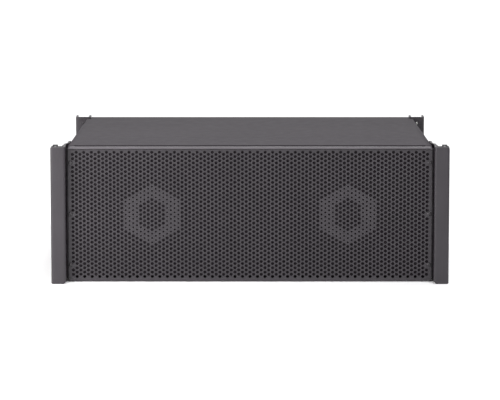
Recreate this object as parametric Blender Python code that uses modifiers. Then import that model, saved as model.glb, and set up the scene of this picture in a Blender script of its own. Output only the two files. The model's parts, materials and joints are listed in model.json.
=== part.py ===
"""Compact two-way line array loudspeaker with its rigging hardware.

Metres, +Z up, the front faces -Y and +X is to the right of someone who looks at the front. The origin is
under the middle of the object, level with the lower ends of the front rails. "left" is -X and "right" is +X.
"""

import math

import bmesh
import bpy
from mathutils import Matrix, Vector

# Overall size
WIDTH = 0.742  # over the front rails
DEPTH = 0.450  # front rail faces to rear rail edges
HEIGHT = 0.260  # front rails
MIDDLE = HEIGHT / 2
FRONT = -DEPTH / 2
REAR = DEPTH / 2
GAP = 0.0003  # between pieces that touch

# Wooden cabinet: a wedge in side view and a trapezium in plan
WEDGE = math.radians(2.5)
TAPER = math.radians(3.08)
CABINET_FRONT = -0.2025
CABINET_REAR = 0.205
FRONT_HALF_WIDTH = 0.339
FRONT_HALF_HEIGHT = 0.1283
PANEL = 0.015
SIDE_PANEL = 0.018
BAFFLE_FACE = -0.176
BAFFLE = 0.018
REAR_PANEL_FACE = 0.195
NOTCH_X = 0.3112  # the rear corners are cut back to here for the rear rails
NOTCH_Y = 0.1793
NOTCH_REACH = 0.025
EDGE = 0.0008

# Grille: a folded sheet, screwed to the front edges of the side panels
SHEET = 0.0015
GRILLE_FACE = -0.205
GRILLE_HALF_HEIGHT = 0.128
GRILLE_RETURN = 0.006
GROOVE_REAR = -0.192  # an open groove between the grille's return and the panel behind it
GROOVE_DEPTH = 0.010
GROOVE_HALF_WIDTH = 0.327
FOAM = 0.005
FOAM_MARGIN = 0.002
SCREW_X = 0.3345
SCREW_RISE = 0.097
SCREW_HOLE_RADIUS = 0.0023
SCREW_HOLE_DEPTH = 0.020

# Cone drivers, 8 inch class
WOOFER_X = 0.205
WOOFER_RADIUS = 0.105
WOOFER_CUT_OUT = 0.0935
CONE_RADIUS = 0.074
ROLL_RADIUS = 0.0072
ROLL_WALL = 0.0012
COIL_RADIUS = 0.0195
CAP_RADIUS = 0.026
CAP_RISE = 0.010
CAP_RIM = -0.038
CAP_WALL = 0.001
SPIDER_RADIUS = 0.058
SPIDER_HEIGHT = -0.0515
SPIDER_WAVE = 0.0015
SPIDER_WAVES = 6

# High frequency section
WAVEGUIDE_HALF_WIDTH = 0.097
WAVEGUIDE_HALF_HEIGHT = 0.108
WAVEGUIDE_REAR = -0.066
WAVEGUIDE_LIP = 0.005  # from the mouth's edge to the outside of the horn
HORN_MOUTH = (0.170, 0.196)
HORN_CUT_OUT = (0.174, 0.200)
THROAT_RADIUS = 0.0127
HF_RISE = 0.0475
HF_RADIUS = 0.043
HF_DEPTH = 0.046

# Rear panel fittings
HANDLE_X = 0.205
HANDLE_CUP = (0.140, 0.050, 0.076)
HANDLE_FLANGE = (0.164, 0.0025, 0.100)
HANDLE_BAR_RADIUS = 0.007
HANDLE_BAR_INSET = 0.002
HANDLE_BAR_RISE = 0.014
CUP_WALL = 0.0025
INPUT_PANEL = (0.170, 0.0025, 0.100)
INPUT_CUT_OUT = (0.140, 0.080, 0.072)
CONNECTOR_X = 0.032
CONNECTOR_RADIUS = 0.012
SOCKET_RADIUS = 0.0095
BOARD_FACE = 0.150
BOARD = (0.180, 0.002, 0.110)
CABLE_RADIUS = 0.0025

# Rigging steel
STEEL = 0.004
RAIL_WIDTH = 0.028
RAIL_INNER = WIDTH / 2 - RAIL_WIDTH
RAIL_LIP_REAR = -0.2065
RAIL_CHAMFER = 0.005
FOLD_RADIUS = 0.0045
FLANGE_STEP_FRONT = -0.1805
FLANGE_STEP_REAR = -0.172
FLANGE_CORNER = 0.018
INNER_FLANGE_CORNER = 0.006
INNER_FLANGE_PROUD = 0.001  # past the cabinet's top and bottom
OUTER_FLANGE_X = 0.3595
OUTER_FLANGE_REAR = -0.165
INNER_FLANGE_REAR = -0.135
OUTER_FLANGE_DROP = 0.010
FRONT_PIN_Y = -0.197
UPPER_PIN_Z = 0.196
LOWER_PIN_Z = 0.024
PIN_RADIUS = 0.004
LINK_THICKNESS = 0.008
LINK_WIDTH = 0.030
LINK_TRAVEL = 0.062
LINK_TOP_Z = 0.236
LINK_BOTTOM_Z = 0.116
LINK_EYE_Z = 0.222
LINK_X = (RAIL_INNER + STEEL + OUTER_FLANGE_X) / 2
REAR_RAIL_INNER = 0.3115
REAR_RAIL_OUTER = 0.3406
REAR_RAIL_X = (REAR_RAIL_INNER + REAR_RAIL_OUTER) / 2
REAR_WEB_Y = 0.180
REAR_RAIL_PROUD = 0.002  # past the cabinet's top and bottom, whose slope its ends follow
ARM_PIVOT_Y = 0.203
ARM_PIVOT_Z = 0.219
ARM_PIVOT_RADIUS = 0.006
ARM_WIDTH = 0.030
ARM_THICKNESS = 0.010
ARM_REACH = 0.095
ARM_FIRST_HOLE = 0.047
ARM_HOLE_STEP = 0.007
ARM_HOLES = 6
ARM_ZIGZAG = 0.0065
REAR_PIN_Z = 0.041

TURN_STEPS = 20
FACING_FRONT = (math.pi / 2, 0, 0)  # local Z points to -Y
FACING_REAR = (-math.pi / 2, 0, 0)  # local Z points to +Y
SIDES = {"left": -1, "right": 1}

# Colour, roughness and metallic value of each finish
FINISHES = {
    "painted_wood": ((0.115, 0.103, 0.118, 1), 0.62, 0.0),
    "bare_wood": ((0.42, 0.30, 0.18, 1), 0.75, 0.0),
    "painted_steel": ((0.100, 0.090, 0.102, 1), 0.50, 0.2),
    "zinc": ((0.62, 0.62, 0.60, 1), 0.32, 1.0),
    "black_screw": ((0.05, 0.048, 0.05, 1), 0.38, 0.6),
    "foam": ((0.02, 0.02, 0.02, 1), 0.95, 0.0),
    "paper_cone": ((0.035, 0.034, 0.036, 1), 0.80, 0.0),
    "rubber": ((0.02, 0.02, 0.02, 1), 0.70, 0.0),
    "cast_aluminium": ((0.30, 0.30, 0.31, 1), 0.50, 0.8),
    "ferrite": ((0.09, 0.09, 0.10, 1), 0.65, 0.2),
    "cloth": ((0.55, 0.42, 0.20, 1), 0.85, 0.0),
    "copper": ((0.72, 0.36, 0.20, 1), 0.35, 1.0),
    "black_plastic": ((0.03, 0.03, 0.032, 1), 0.45, 0.0),
    "titanium": ((0.55, 0.54, 0.52, 1), 0.30, 1.0),
    "circuit_board": ((0.03, 0.16, 0.08, 1), 0.50, 0.0),
    "cable_sleeve": ((0.03, 0.03, 0.03, 1), 0.60, 0.0),
}


def clear_scene():
    for obj in list(bpy.data.objects):
        bpy.data.objects.remove(obj, do_unlink=True)


def new_collection(name):
    collection = bpy.data.collections.new(name)
    bpy.context.scene.collection.children.link(collection)
    return collection


clear_scene()
PARTS = new_collection("line_array_speaker")
CUTTERS = new_collection("cutters")
CUTTERS.hide_render = True


# ---------------------------------------------------------------- modelling helpers


def finished(obj, finish):
    """Gives the object its own material."""
    colour, roughness, metallic = FINISHES[finish]
    material = bpy.data.materials.new(obj.name)
    material.use_nodes = True
    shader = material.node_tree.nodes["Principled BSDF"]
    shader.inputs["Base Color"].default_value = colour
    shader.inputs["Roughness"].default_value = roughness
    shader.inputs["Metallic"].default_value = metallic
    obj.data.materials.clear()
    obj.data.materials.append(material)


def placed(name, mesh, finish, location, rotation):
    """A part where finish names one, or a cutter where finish is None."""
    obj = bpy.data.objects.new(name, mesh)
    obj.location = location
    obj.rotation_euler = rotation
    if finish:
        PARTS.objects.link(obj)
        finished(obj, finish)
    else:
        CUTTERS.objects.link(obj)
        obj.hide_render = True
        obj.display_type = "WIRE"
    bpy.context.view_layer.update()
    return obj


def mesh_of(name, form):
    mesh = bpy.data.meshes.new(name)
    form.to_mesh(mesh)
    form.free()
    return mesh


def box(name, finish, size, location, rotation=(0, 0, 0)):
    form = bmesh.new()
    bmesh.ops.create_cube(form, size=1, matrix=Matrix.Diagonal((*size, 1)))
    return placed(name, mesh_of(name, form), finish, location, rotation)


def frustum(name, finish, near, far, length, location, rotation=(0, 0, 0)):
    """A block whose section changes from near at local -Z to far at local +Z."""
    form = bmesh.new()
    bmesh.ops.create_cube(form, size=1, matrix=Matrix.Diagonal((*near, length, 1)))
    high = [vertex for vertex in form.verts if vertex.co.z > 0]
    bmesh.ops.scale(form, vec=(far[0] / near[0], far[1] / near[1], 1), verts=high)
    return placed(name, mesh_of(name, form), finish, location, rotation)


def rod(name, finish, radius, length, location, rotation=(0, 0, 0), segments=24):
    """A cylinder along local Z."""
    form = bmesh.new()
    bmesh.ops.create_cone(
        form, cap_ends=True, segments=segments, radius1=radius, radius2=radius, depth=length
    )
    return placed(name, mesh_of(name, form), finish, location, rotation)


def turned(name, finish, profile, location, rotation=(0, 0, 0), steps=TURN_STEPS):
    """Turns a profile of (radius, height) about local Z. One that starts off the axis is closed to a ring."""
    mesh = bpy.data.meshes.new(name)
    edges = [(i, i + 1) for i in range(len(profile) - 1)]
    if profile[0][0] > 0:
        edges.append((len(profile) - 1, 0))
    mesh.from_pydata([(radius, 0, height) for radius, height in profile], edges, [])
    obj = placed(name, mesh, finish, location, rotation)
    screw = obj.modifiers.new("Turn", "SCREW")
    screw.axis = "Z"
    screw.steps = steps
    screw.render_steps = steps
    screw.use_merge_vertices = True
    screw.merge_threshold = 0.00001
    return obj


def circle(x, y, radius, count=14):
    turns = [2 * math.pi * i / count for i in range(count)]
    return [(x + radius * math.cos(turn), y + radius * math.sin(turn)) for turn in turns]


def rectangle(width, height, x=0, y=0):
    return [
        (x - width / 2, y - height / 2),
        (x + width / 2, y - height / 2),
        (x + width / 2, y + height / 2),
        (x - width / 2, y + height / 2),
    ]


def rounded(corners, steps=5):
    """An outline through corners of (x, y, radius), each rounded by an arc of its radius."""
    outline = []
    for i, (x, y, radius) in enumerate(corners):
        here = Vector((x, y))
        if radius == 0:
            outline.append((x, y))
            continue
        back = (Vector(corners[i - 1][:2]) - here).normalized()
        ahead = (Vector(corners[(i + 1) % len(corners)][:2]) - here).normalized()
        half = back.angle(ahead) / 2
        centre = here + (back + ahead).normalized() * radius / math.sin(half)
        start = here + back * radius / math.tan(half) - centre
        end = here + ahead * radius / math.tan(half) - centre
        first = math.atan2(start.y, start.x)
        sweep = (math.atan2(end.y, end.x) - first + math.pi) % (2 * math.pi) - math.pi
        for step in range(steps + 1):
            turn = first + sweep * step / steps
            outline.append((centre.x + radius * math.cos(turn), centre.y + radius * math.sin(turn)))
    return outline


def solid_from_curve(name, finish, curve, location, rotation):
    """Makes a curve a mesh object, with its caps welded on."""
    guide = bpy.data.objects.new(name + "_guide", curve)
    guide.location = location
    guide.rotation_euler = rotation
    CUTTERS.objects.link(guide)
    bpy.context.view_layer.update()
    graph = bpy.context.evaluated_depsgraph_get()
    mesh = bpy.data.meshes.new_from_object(guide.evaluated_get(graph))
    mesh.name = name
    form = bmesh.new()
    form.from_mesh(mesh)
    bmesh.ops.remove_doubles(form, verts=form.verts, dist=0.00001)
    bmesh.ops.recalc_face_normals(form, faces=form.faces)
    form.to_mesh(mesh)
    form.free()
    obj = placed(name, mesh, finish, location, rotation)
    obj.matrix_world = guide.matrix_world
    bpy.data.objects.remove(guide, do_unlink=True)
    return obj


def plate(name, finish, outline, thickness, location, rotation=(0, 0, 0), holes=()):
    """A flat outline with holes, centred on its own plane, which is local XY."""
    curve = bpy.data.curves.new(name, "CURVE")
    curve.dimensions = "2D"
    curve.fill_mode = "BOTH"
    curve.extrude = thickness / 2
    for loop in (outline, *holes):
        spline = curve.splines.new("POLY")
        spline.points.add(len(loop) - 1)
        for point, (x, y) in zip(spline.points, loop):
            point.co = (x, y, 0, 1)
        spline.use_cyclic_u = True
    return solid_from_curve(name, finish, curve, location, rotation)


def tube(name, finish, route, radius):
    """A round tube along a route, smoothed through its points."""
    curve = bpy.data.curves.new(name, "CURVE")
    curve.dimensions = "3D"
    curve.bevel_depth = radius
    curve.bevel_resolution = 2
    curve.use_fill_caps = True
    points = smooth_route(route)
    spline = curve.splines.new("POLY")
    spline.points.add(len(points) - 1)
    for point, place in zip(spline.points, points):
        point.co = (*place, 1)
    return solid_from_curve(name, finish, curve, (0, 0, 0), (0, 0, 0))


def smooth_route(route, steps=2):
    """Catmull-Rom points through the route."""
    places = [Vector(place) for place in route]
    places = [2 * places[0] - places[1], *places, 2 * places[-1] - places[-2]]
    points = []
    for a, b, c, d in zip(places, places[1:], places[2:], places[3:]):
        for step in range(steps):
            t = step / steps
            bend = (2 * a - 5 * b + 4 * c - d) * t * t + (3 * b - a - 3 * c + d) * t**3
            points.append(b + ((c - a) * t + bend) / 2)
    return [*points, places[-2]]


def combined(obj, other, operation):
    """Adds an exact Boolean. The other object is kept as a helper, out of the model."""
    modifier = obj.modifiers.new(other.name, "BOOLEAN")
    modifier.operation = operation
    modifier.solver = "EXACT"
    modifier.object = other


def cut(obj, *cutters):
    for cutter in cutters:
        combined(obj, cutter, "DIFFERENCE")


def join(obj, *others):
    for other in others:
        combined(obj, other, "UNION")


def rounded_edges(obj, width, segments=1):
    bevel = obj.modifiers.new("Edges", "BEVEL")
    bevel.width = width
    bevel.segments = segments
    bevel.limit_method = "ANGLE"
    bevel.angle_limit = math.radians(40)


# ---------------------------------------------------------------- shape of the cabinet


def half_width(y):
    """From the middle to the outer face of a side panel."""
    return FRONT_HALF_WIDTH - (y - CABINET_FRONT) * math.tan(TAPER)


def half_height(y):
    """From the middle plane to the outer face of the top or the bottom panel."""
    return FRONT_HALF_HEIGHT - (y - CABINET_FRONT) * math.tan(WEDGE)


def inner_half_width(y):
    return half_width(y) - SIDE_PANEL / math.cos(TAPER)


def inner_half_height(y):
    return half_height(y) - PANEL / math.cos(WEDGE)


def cabinet_panels():
    """The top and bottom panels, which are alike."""
    right_edge = [
        (FRONT_HALF_WIDTH, 0),
        (half_width(NOTCH_Y), (NOTCH_Y - CABINET_FRONT) / math.cos(WEDGE)),
        (NOTCH_X, (NOTCH_Y - CABINET_FRONT) / math.cos(WEDGE)),
        (NOTCH_X, (CABINET_REAR - CABINET_FRONT) / math.cos(WEDGE)),
    ]
    outline = right_edge + [(-x, y) for x, y in reversed(right_edge)]
    for name, up in (("top_panel", 1), ("bottom_panel", -1)):
        middle_of_thickness = FRONT_HALF_HEIGHT - PANEL / 2 * math.cos(WEDGE)
        location = (0, CABINET_FRONT - PANEL / 2 * math.sin(WEDGE), MIDDLE + up * middle_of_thickness)
        panel = plate(name, "painted_wood", outline, PANEL, location, (-up * WEDGE, 0, 0))
        rounded_edges(panel, EDGE)
        rebate_depth = GRILLE_RETURN + 2 * GAP
        rebate_floor = GRILLE_HALF_HEIGHT - SHEET - GAP
        rebate = box(
            name + "_rebate",
            None,
            (WIDTH, 2 * rebate_depth, 2 * PANEL),
            (0, GRILLE_FACE, MIDDLE + up * (rebate_floor + PANEL)),
        )
        groove_floor = GRILLE_HALF_HEIGHT - GROOVE_DEPTH
        groove = box(
            name + "_groove",
            None,
            (2 * GROOVE_HALF_WIDTH, 2 * (GROOVE_REAR - GRILLE_FACE), 2 * PANEL),
            (0, GRILLE_FACE, MIDDLE + up * (groove_floor + PANEL)),
        )
        cut(panel, rebate, groove)


def side_panels():
    length = CABINET_REAR - CABINET_FRONT
    front = inner_half_height(CABINET_FRONT) - GAP
    rear = inner_half_height(CABINET_REAR) - GAP
    outline = [(0, -front), (length, -rear), (length, rear), (0, front)]
    for name, side in SIDES.items():
        x = FRONT_HALF_WIDTH - SIDE_PANEL / 2 / math.cos(TAPER)
        turn = math.pi / 2 + side * TAPER
        panel = plate(
            "side_panel_" + name,
            "painted_wood",
            outline,
            SIDE_PANEL,
            (side * x, CABINET_FRONT, MIDDLE),
            (math.pi / 2, 0, turn),
        )
        notch = box(
            "side_panel_notch_" + name,
            None,
            (2 * NOTCH_REACH, 2 * NOTCH_REACH, HEIGHT),
            (side * (NOTCH_X + NOTCH_REACH), NOTCH_Y + NOTCH_REACH, MIDDLE),
        )
        cut(panel, notch)
        for rise in (-SCREW_RISE, 0, SCREW_RISE):
            hole = rod(
                f"grille_screw_hole_{name}_{rise}",
                None,
                SCREW_HOLE_RADIUS,
                2 * SCREW_HOLE_DEPTH,
                (side * SCREW_X, CABINET_FRONT, MIDDLE + rise),
                FACING_FRONT,
                12,
            )
            cut(panel, hole)


def front_baffle():
    back = BAFFLE_FACE + BAFFLE
    across = inner_half_width(back) - 2 * GAP
    up = inner_half_height(back) - 2 * GAP
    plate(
        "front_baffle",
        "bare_wood",
        rectangle(2 * across, 2 * up),
        BAFFLE,
        (0, BAFFLE_FACE + BAFFLE / 2, MIDDLE),
        FACING_FRONT,
        holes=[
            circle(-WOOFER_X, 0, WOOFER_CUT_OUT, 32),
            circle(WOOFER_X, 0, WOOFER_CUT_OUT, 32),
            rectangle(*HORN_CUT_OUT),
        ],
    )


def rear_panel():
    across = inner_half_width(REAR_PANEL_FACE) - 2 * GAP
    up = inner_half_height(REAR_PANEL_FACE) - 2 * GAP
    cup_width = HANDLE_CUP[0] + 2 * GAP
    cup_height = HANDLE_CUP[2] + 2 * GAP
    plate(
        "rear_panel",
        "painted_wood",
        rectangle(2 * across, 2 * up),
        PANEL,
        (0, REAR_PANEL_FACE - PANEL / 2, MIDDLE),
        FACING_FRONT,
        holes=[
            rectangle(cup_width, cup_height, -HANDLE_X),
            rectangle(cup_width, cup_height, HANDLE_X),
            rectangle(INPUT_CUT_OUT[0], INPUT_CUT_OUT[2]),
        ],
    )


# ---------------------------------------------------------------- grille


def grille():
    """The sheet is one fold, seen here from its end: a face with a return along its top and its bottom."""
    inside = GRILLE_HALF_HEIGHT - SHEET
    outline = [
        (0, -GRILLE_HALF_HEIGHT),
        (GRILLE_RETURN, -GRILLE_HALF_HEIGHT),
        (GRILLE_RETURN, -inside),
        (SHEET, -inside),
        (SHEET, inside),
        (GRILLE_RETURN, inside),
        (GRILLE_RETURN, GRILLE_HALF_HEIGHT),
        (0, GRILLE_HALF_HEIGHT),
    ]
    face = plate(
        "grille",
        "painted_steel",
        outline,
        2 * FRONT_HALF_WIDTH,
        (0, GRILLE_FACE, MIDDLE),
        (math.pi / 2, 0, math.pi / 2),
    )
    profile = [
        (0, 0.0024),
        (0.0018, 0.0024),
        (0.0034, 0.0017),
        (0.0038, GAP),
        (0.0020, GAP),
        (0.0020, -0.0180),
        (0, -0.0192),
    ]
    number = 0
    for side in (-1, 1):
        for rise in (SCREW_RISE, 0, -SCREW_RISE):
            number += 1
            place = (side * SCREW_X, GRILLE_FACE, MIDDLE + rise)
            hole = rod(f"grille_hole_{number}", None, SCREW_HOLE_RADIUS, 0.010, place, FACING_FRONT, 12)
            cut(face, hole)
            turned(f"grille_screw_{number}", "black_screw", profile, place, FACING_FRONT, 10)


def grille_foam():
    y = GRILLE_FACE + SHEET + GAP
    across = inner_half_width(CABINET_FRONT) - FOAM_MARGIN
    up = inner_half_height(CABINET_FRONT) - FOAM_MARGIN
    box("grille_foam", "foam", (2 * across, FOAM, 2 * up), (0, y + FOAM / 2, MIDDLE))


# ---------------------------------------------------------------- cone drivers


def roll_profile():
    """A half-round roll of rubber between the cone and the basket."""
    middle = CONE_RADIUS + GAP + ROLL_RADIUS
    turns = [math.pi * i / 5 for i in range(6)]
    outside = [(middle - ROLL_RADIUS * math.cos(t), ROLL_RADIUS * math.sin(t)) for t in turns]
    inside_radius = ROLL_RADIUS - ROLL_WALL
    inside = [(middle - inside_radius * math.cos(t), inside_radius * math.sin(t)) for t in turns]
    return outside + inside[::-1]


def spider_profile():
    """A corrugated cloth disc, read from the voice coil to its rim on top and back underneath."""
    thickness = 0.0009
    top = []
    for i in range(SPIDER_WAVES + 1):
        radius = COIL_RADIUS + GAP + (SPIDER_RADIUS - COIL_RADIUS) * i / SPIDER_WAVES
        top.append((radius, SPIDER_HEIGHT + SPIDER_WAVE * (-1) ** i))
    return top + [(radius, height - thickness) for radius, height in reversed(top)]


def woofer(name, side):
    """Heights are measured forward from the face of the baffle, along the driver's axis."""
    place = (side * WOOFER_X, BAFFLE_FACE, MIDDLE)

    def piece(part, finish, profile):
        return turned(f"woofer_{name}_{part}", finish, profile, place, FACING_FRONT)

    basket = piece(
        "basket",
        "cast_aluminium",
        [
            (WOOFER_RADIUS, 0.0043),
            (WOOFER_RADIUS, GAP),
            (0.0925, GAP),
            (0.092, -0.008),
            (0.066, -0.062),
            (0.036, -0.062),
            (0.036, -0.058),
            (0.063, -0.058),
            (0.0885, -0.007),
            (0.089, 0.0043),
        ],
    )
    reach = 0.075
    for i in range(4):
        turn = math.pi / 4 + i * math.pi / 2
        x, z = place[0] + reach * math.cos(turn), MIDDLE + reach * math.sin(turn)
        window_place = (x, BAFFLE_FACE + 0.034, z)
        window_size = (0.030, 0.022, 0.060)
        cut(basket, box(f"woofer_{name}_window_{i}", None, window_size, window_place, (0, -turn, 0)))
    piece(
        "motor",
        "ferrite",
        [
            (0, -0.060),
            (0.017, -0.060),
            (0.017, -0.088),
            (0.021, -0.088),
            (0.021, -0.0623),
            (0.045, -0.0623),
            (0.045, -0.070),
            (0.062, -0.070),
            (0.062, -0.092),
            (0.055, -0.092),
            (0.055, -0.100),
            (0, -0.100),
        ],
    )
    piece("surround", "rubber", roll_profile())
    piece("spider", "cloth", spider_profile())
    neck = COIL_RADIUS + GAP
    piece(
        "cone",
        "paper_cone",
        [(CONE_RADIUS, -0.001), (CONE_RADIUS, -0.0024), (neck, -0.0452), (neck, -0.0438)],
    )
    turns = (0, 0.7, 1.4)
    crown = [(CAP_RADIUS * math.sin(t), CAP_RIM + CAP_RISE * math.cos(t)) for t in turns]
    inside = CAP_RADIUS - CAP_WALL
    under = [(inside * math.sin(t), CAP_RIM - CAP_WALL + CAP_RISE * math.cos(t)) for t in turns]
    piece("dust_cap", "paper_cone", crown + under[::-1])
    piece(
        "voice_coil",
        "copper",
        [(COIL_RADIUS, -0.0445), (COIL_RADIUS, -0.080), (0.018, -0.080), (0.018, -0.0445)],
    )


# ---------------------------------------------------------------- high frequency section


def waveguide():
    """A flanged horn whose tall slot is fed by two round throats, one above the other."""
    depth = WAVEGUIDE_REAR - BAFFLE_FACE
    flange = plate(
        "hf_waveguide",
        "black_plastic",
        rectangle(2 * WAVEGUIDE_HALF_WIDTH, 2 * WAVEGUIDE_HALF_HEIGHT),
        STEEL,
        (0, BAFFLE_FACE - STEEL / 2 - GAP, MIDDLE),
        FACING_FRONT,
    )
    overlap = 0.001
    body = frustum(
        "waveguide_body",
        None,
        (0.070, 0.186),
        HORN_MOUTH,
        depth + overlap,
        (0, BAFFLE_FACE + (depth - overlap) / 2, MIDDLE),
        FACING_FRONT,
    )
    cavity_depth = depth - 0.010
    cavity_front = BAFFLE_FACE - 0.009
    cavity = frustum(
        "waveguide_cavity",
        None,
        (0.022, 0.150),
        (HORN_MOUTH[0] - 2 * WAVEGUIDE_LIP, HORN_MOUTH[1] - 2 * WAVEGUIDE_LIP),
        cavity_depth,
        (0, cavity_front + cavity_depth / 2, MIDDLE),
        FACING_FRONT,
    )
    join(flange, body)
    cut(flange, cavity)
    for level in (-1, 1):
        throat = rod(
            f"waveguide_throat_{level}",
            None,
            THROAT_RADIUS - 0.002,
            0.060,
            (0, WAVEGUIDE_REAR, MIDDLE + level * HF_RISE),
            FACING_FRONT,
        )
        cut(flange, throat)


def hf_driver(name, level):
    """A compression driver with a chamber, in which its domed diaphragm moves."""
    place = (0, WAVEGUIDE_REAR + GAP, MIDDLE + level * HF_RISE)
    chamber = 0.024
    turned(
        "hf_driver_" + name,
        "cast_aluminium",
        [
            (0, -0.022),
            (chamber, -0.022),
            (chamber, -0.006),
            (THROAT_RADIUS, -0.006),
            (THROAT_RADIUS, 0),
            (0.032, 0),
            (0.032, -0.008),
            (HF_RADIUS, -0.010),
            (HF_RADIUS, -0.036),
            (0.034, -HF_DEPTH),
            (0, -HF_DEPTH),
        ],
        place,
        FACING_FRONT,
    )
    dome = 0.022
    turned(
        "hf_diaphragm_" + name,
        "titanium",
        [(0, -0.009), (0.4 * dome, -0.0097), (0.75 * dome, -0.0125), (dome, -0.017)]
        + [(dome, -0.0178), (0.72 * dome, -0.0135), (0.38 * dome, -0.0105), (0, -0.0099)],
        place,
        FACING_FRONT,
        18,
    )


# ---------------------------------------------------------------- rear panel fittings


def handle(name, side):
    """A pressed steel cup let into the rear panel, with a bar across its mouth."""
    width, depth, height = HANDLE_CUP
    flange_y = REAR_PANEL_FACE + GAP + HANDLE_FLANGE[1] / 2
    back = flange_y - HANDLE_FLANGE[1] / 2
    cup = box("handle_" + name, "painted_steel", HANDLE_FLANGE, (side * HANDLE_X, flange_y, MIDDLE))
    overlap = 0.001
    middle_y = back - depth / 2 + overlap
    outside = box(
        "handle_outside_" + name,
        None,
        (width - GAP, depth, height - GAP),
        (side * HANDLE_X, middle_y, MIDDLE),
    )
    mouth = 0.005
    inside = box(
        "handle_inside_" + name,
        None,
        (width - 2 * CUP_WALL, depth + 2 * mouth, height - 2 * CUP_WALL),
        (side * HANDLE_X, middle_y + CUP_WALL + mouth, MIDDLE),
    )
    bar = rod(
        "handle_bar_" + name,
        None,
        HANDLE_BAR_RADIUS,
        width - CUP_WALL,
        (side * HANDLE_X, back - HANDLE_BAR_RADIUS - HANDLE_BAR_INSET, MIDDLE + HANDLE_BAR_RISE),
        (0, math.pi / 2, 0),
        16,
    )
    join(cup, outside)
    cut(cup, inside)
    join(cup, bar)


def input_panel():
    plate(
        "input_panel",
        "painted_steel",
        rounded([(x, y, 0.004) for x, y in rectangle(INPUT_PANEL[0], INPUT_PANEL[2])]),
        INPUT_PANEL[1],
        (0, REAR_PANEL_FACE + GAP + INPUT_PANEL[1] / 2, MIDDLE),
        FACING_REAR,
        holes=[circle(side * CONNECTOR_X, 0, CONNECTOR_RADIUS + 2 * GAP, 16) for side in (-1, 1)],
    )
    face = REAR_PANEL_FACE + 2 * GAP + INPUT_PANEL[1]
    for name, side in (("input", 1), ("link", -1)):
        turned(
            "connector_" + name,
            "black_plastic",
            [
                (0, -0.019),
                (SOCKET_RADIUS, -0.019),
                (SOCKET_RADIUS, 0.0025),
                (0.0155, 0.0025),
                (0.0155, 0),
                (CONNECTOR_RADIUS, 0),
                (CONNECTOR_RADIUS, -0.024),
                (0, -0.024),
            ],
            (side * CONNECTOR_X, face, MIDDLE),
            FACING_REAR,
            16,
        )


def crossover_board():
    """The board stands on four posts in front of the rear panel. Its coils and capacitors face forward."""
    middle_y = BOARD_FACE + BOARD[1] / 2
    board = box("crossover_board", "circuit_board", BOARD, (0, middle_y, MIDDLE))
    post_length = REAR_PANEL_FACE - PANEL - GAP - middle_y
    for x in (-0.082, 0.082):
        for rise in (-0.047, 0.047):
            place = (x, middle_y + post_length / 2, MIDDLE + rise)
            join(board, rod(f"board_post_{x}_{rise}", None, 0.004, post_length, place, FACING_FRONT, 8))
    for x, rise, radius, height in ((-0.055, 0.020, 0.022, 0.020), (0.055, 0.020, 0.018, 0.024)):
        place = (x, middle_y - height / 2, MIDDLE + rise)
        join(board, rod(f"board_coil_{x}", None, radius, height, place, FACING_FRONT, 16))
    for x, rise, size in ((0, 0.024, (0.030, 0.022, 0.046)), (-0.040, -0.032, (0.056, 0.016, 0.022))):
        place = (x, middle_y - size[1] / 2, MIDDLE + rise)
        join(board, box(f"board_capacitor_{x}", None, size, place))


def internal_cables():
    """Twin cables from the board over the floor of the cabinet to the drivers' rear faces."""
    floor = MIDDLE - inner_half_height(0.05) + 0.004
    board_y = BOARD_FACE - 0.004
    motor_rear = BAFFLE_FACE + 0.100 + GAP
    for name, side in SIDES.items():
        start = side * 0.070
        tube(
            "cable_woofer_" + name,
            "cable_sleeve",
            [
                (start, board_y, MIDDLE - 0.048),
                (start, board_y - 0.014, MIDDLE - 0.066),
                (start + side * 0.005, 0.100, MIDDLE - 0.090),
                (start + side * 0.030, 0.060, floor + 0.003),
                (side * 0.140, 0.000, floor),
                (side * 0.180, -0.035, floor + 0.006),
                (side * 0.198, -0.050, MIDDLE - 0.070),
                (side * WOOFER_X, motor_rear + 0.012, MIDDLE - 0.040),
                (side * WOOFER_X, motor_rear + 0.001, MIDDLE - 0.032),
            ],
            CABLE_RADIUS,
        )
    driver_rear = WAVEGUIDE_REAR + GAP + HF_DEPTH
    tube(
        "cable_hf",
        "cable_sleeve",
        [
            (0.020, board_y, MIDDLE - 0.030),
            (0.018, board_y - 0.020, MIDDLE - 0.045),
            (0.012, 0.090, MIDDLE - 0.066),
            (0.004, 0.050, MIDDLE - 0.070),
            (0.000, 0.010, MIDDLE - 0.060),
            (0.000, driver_rear + 0.001, MIDDLE - HF_RISE),
        ],
        CABLE_RADIUS,
    )


# ---------------------------------------------------------------- rigging


def facing_side(name, finish, outline, thickness, place, holes=()):
    """A plate that stands across X. Its outline and holes are in (y, z) from its place."""
    return plate(name, finish, outline, thickness, place, (math.pi / 2, 0, math.pi / 2), holes)


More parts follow.
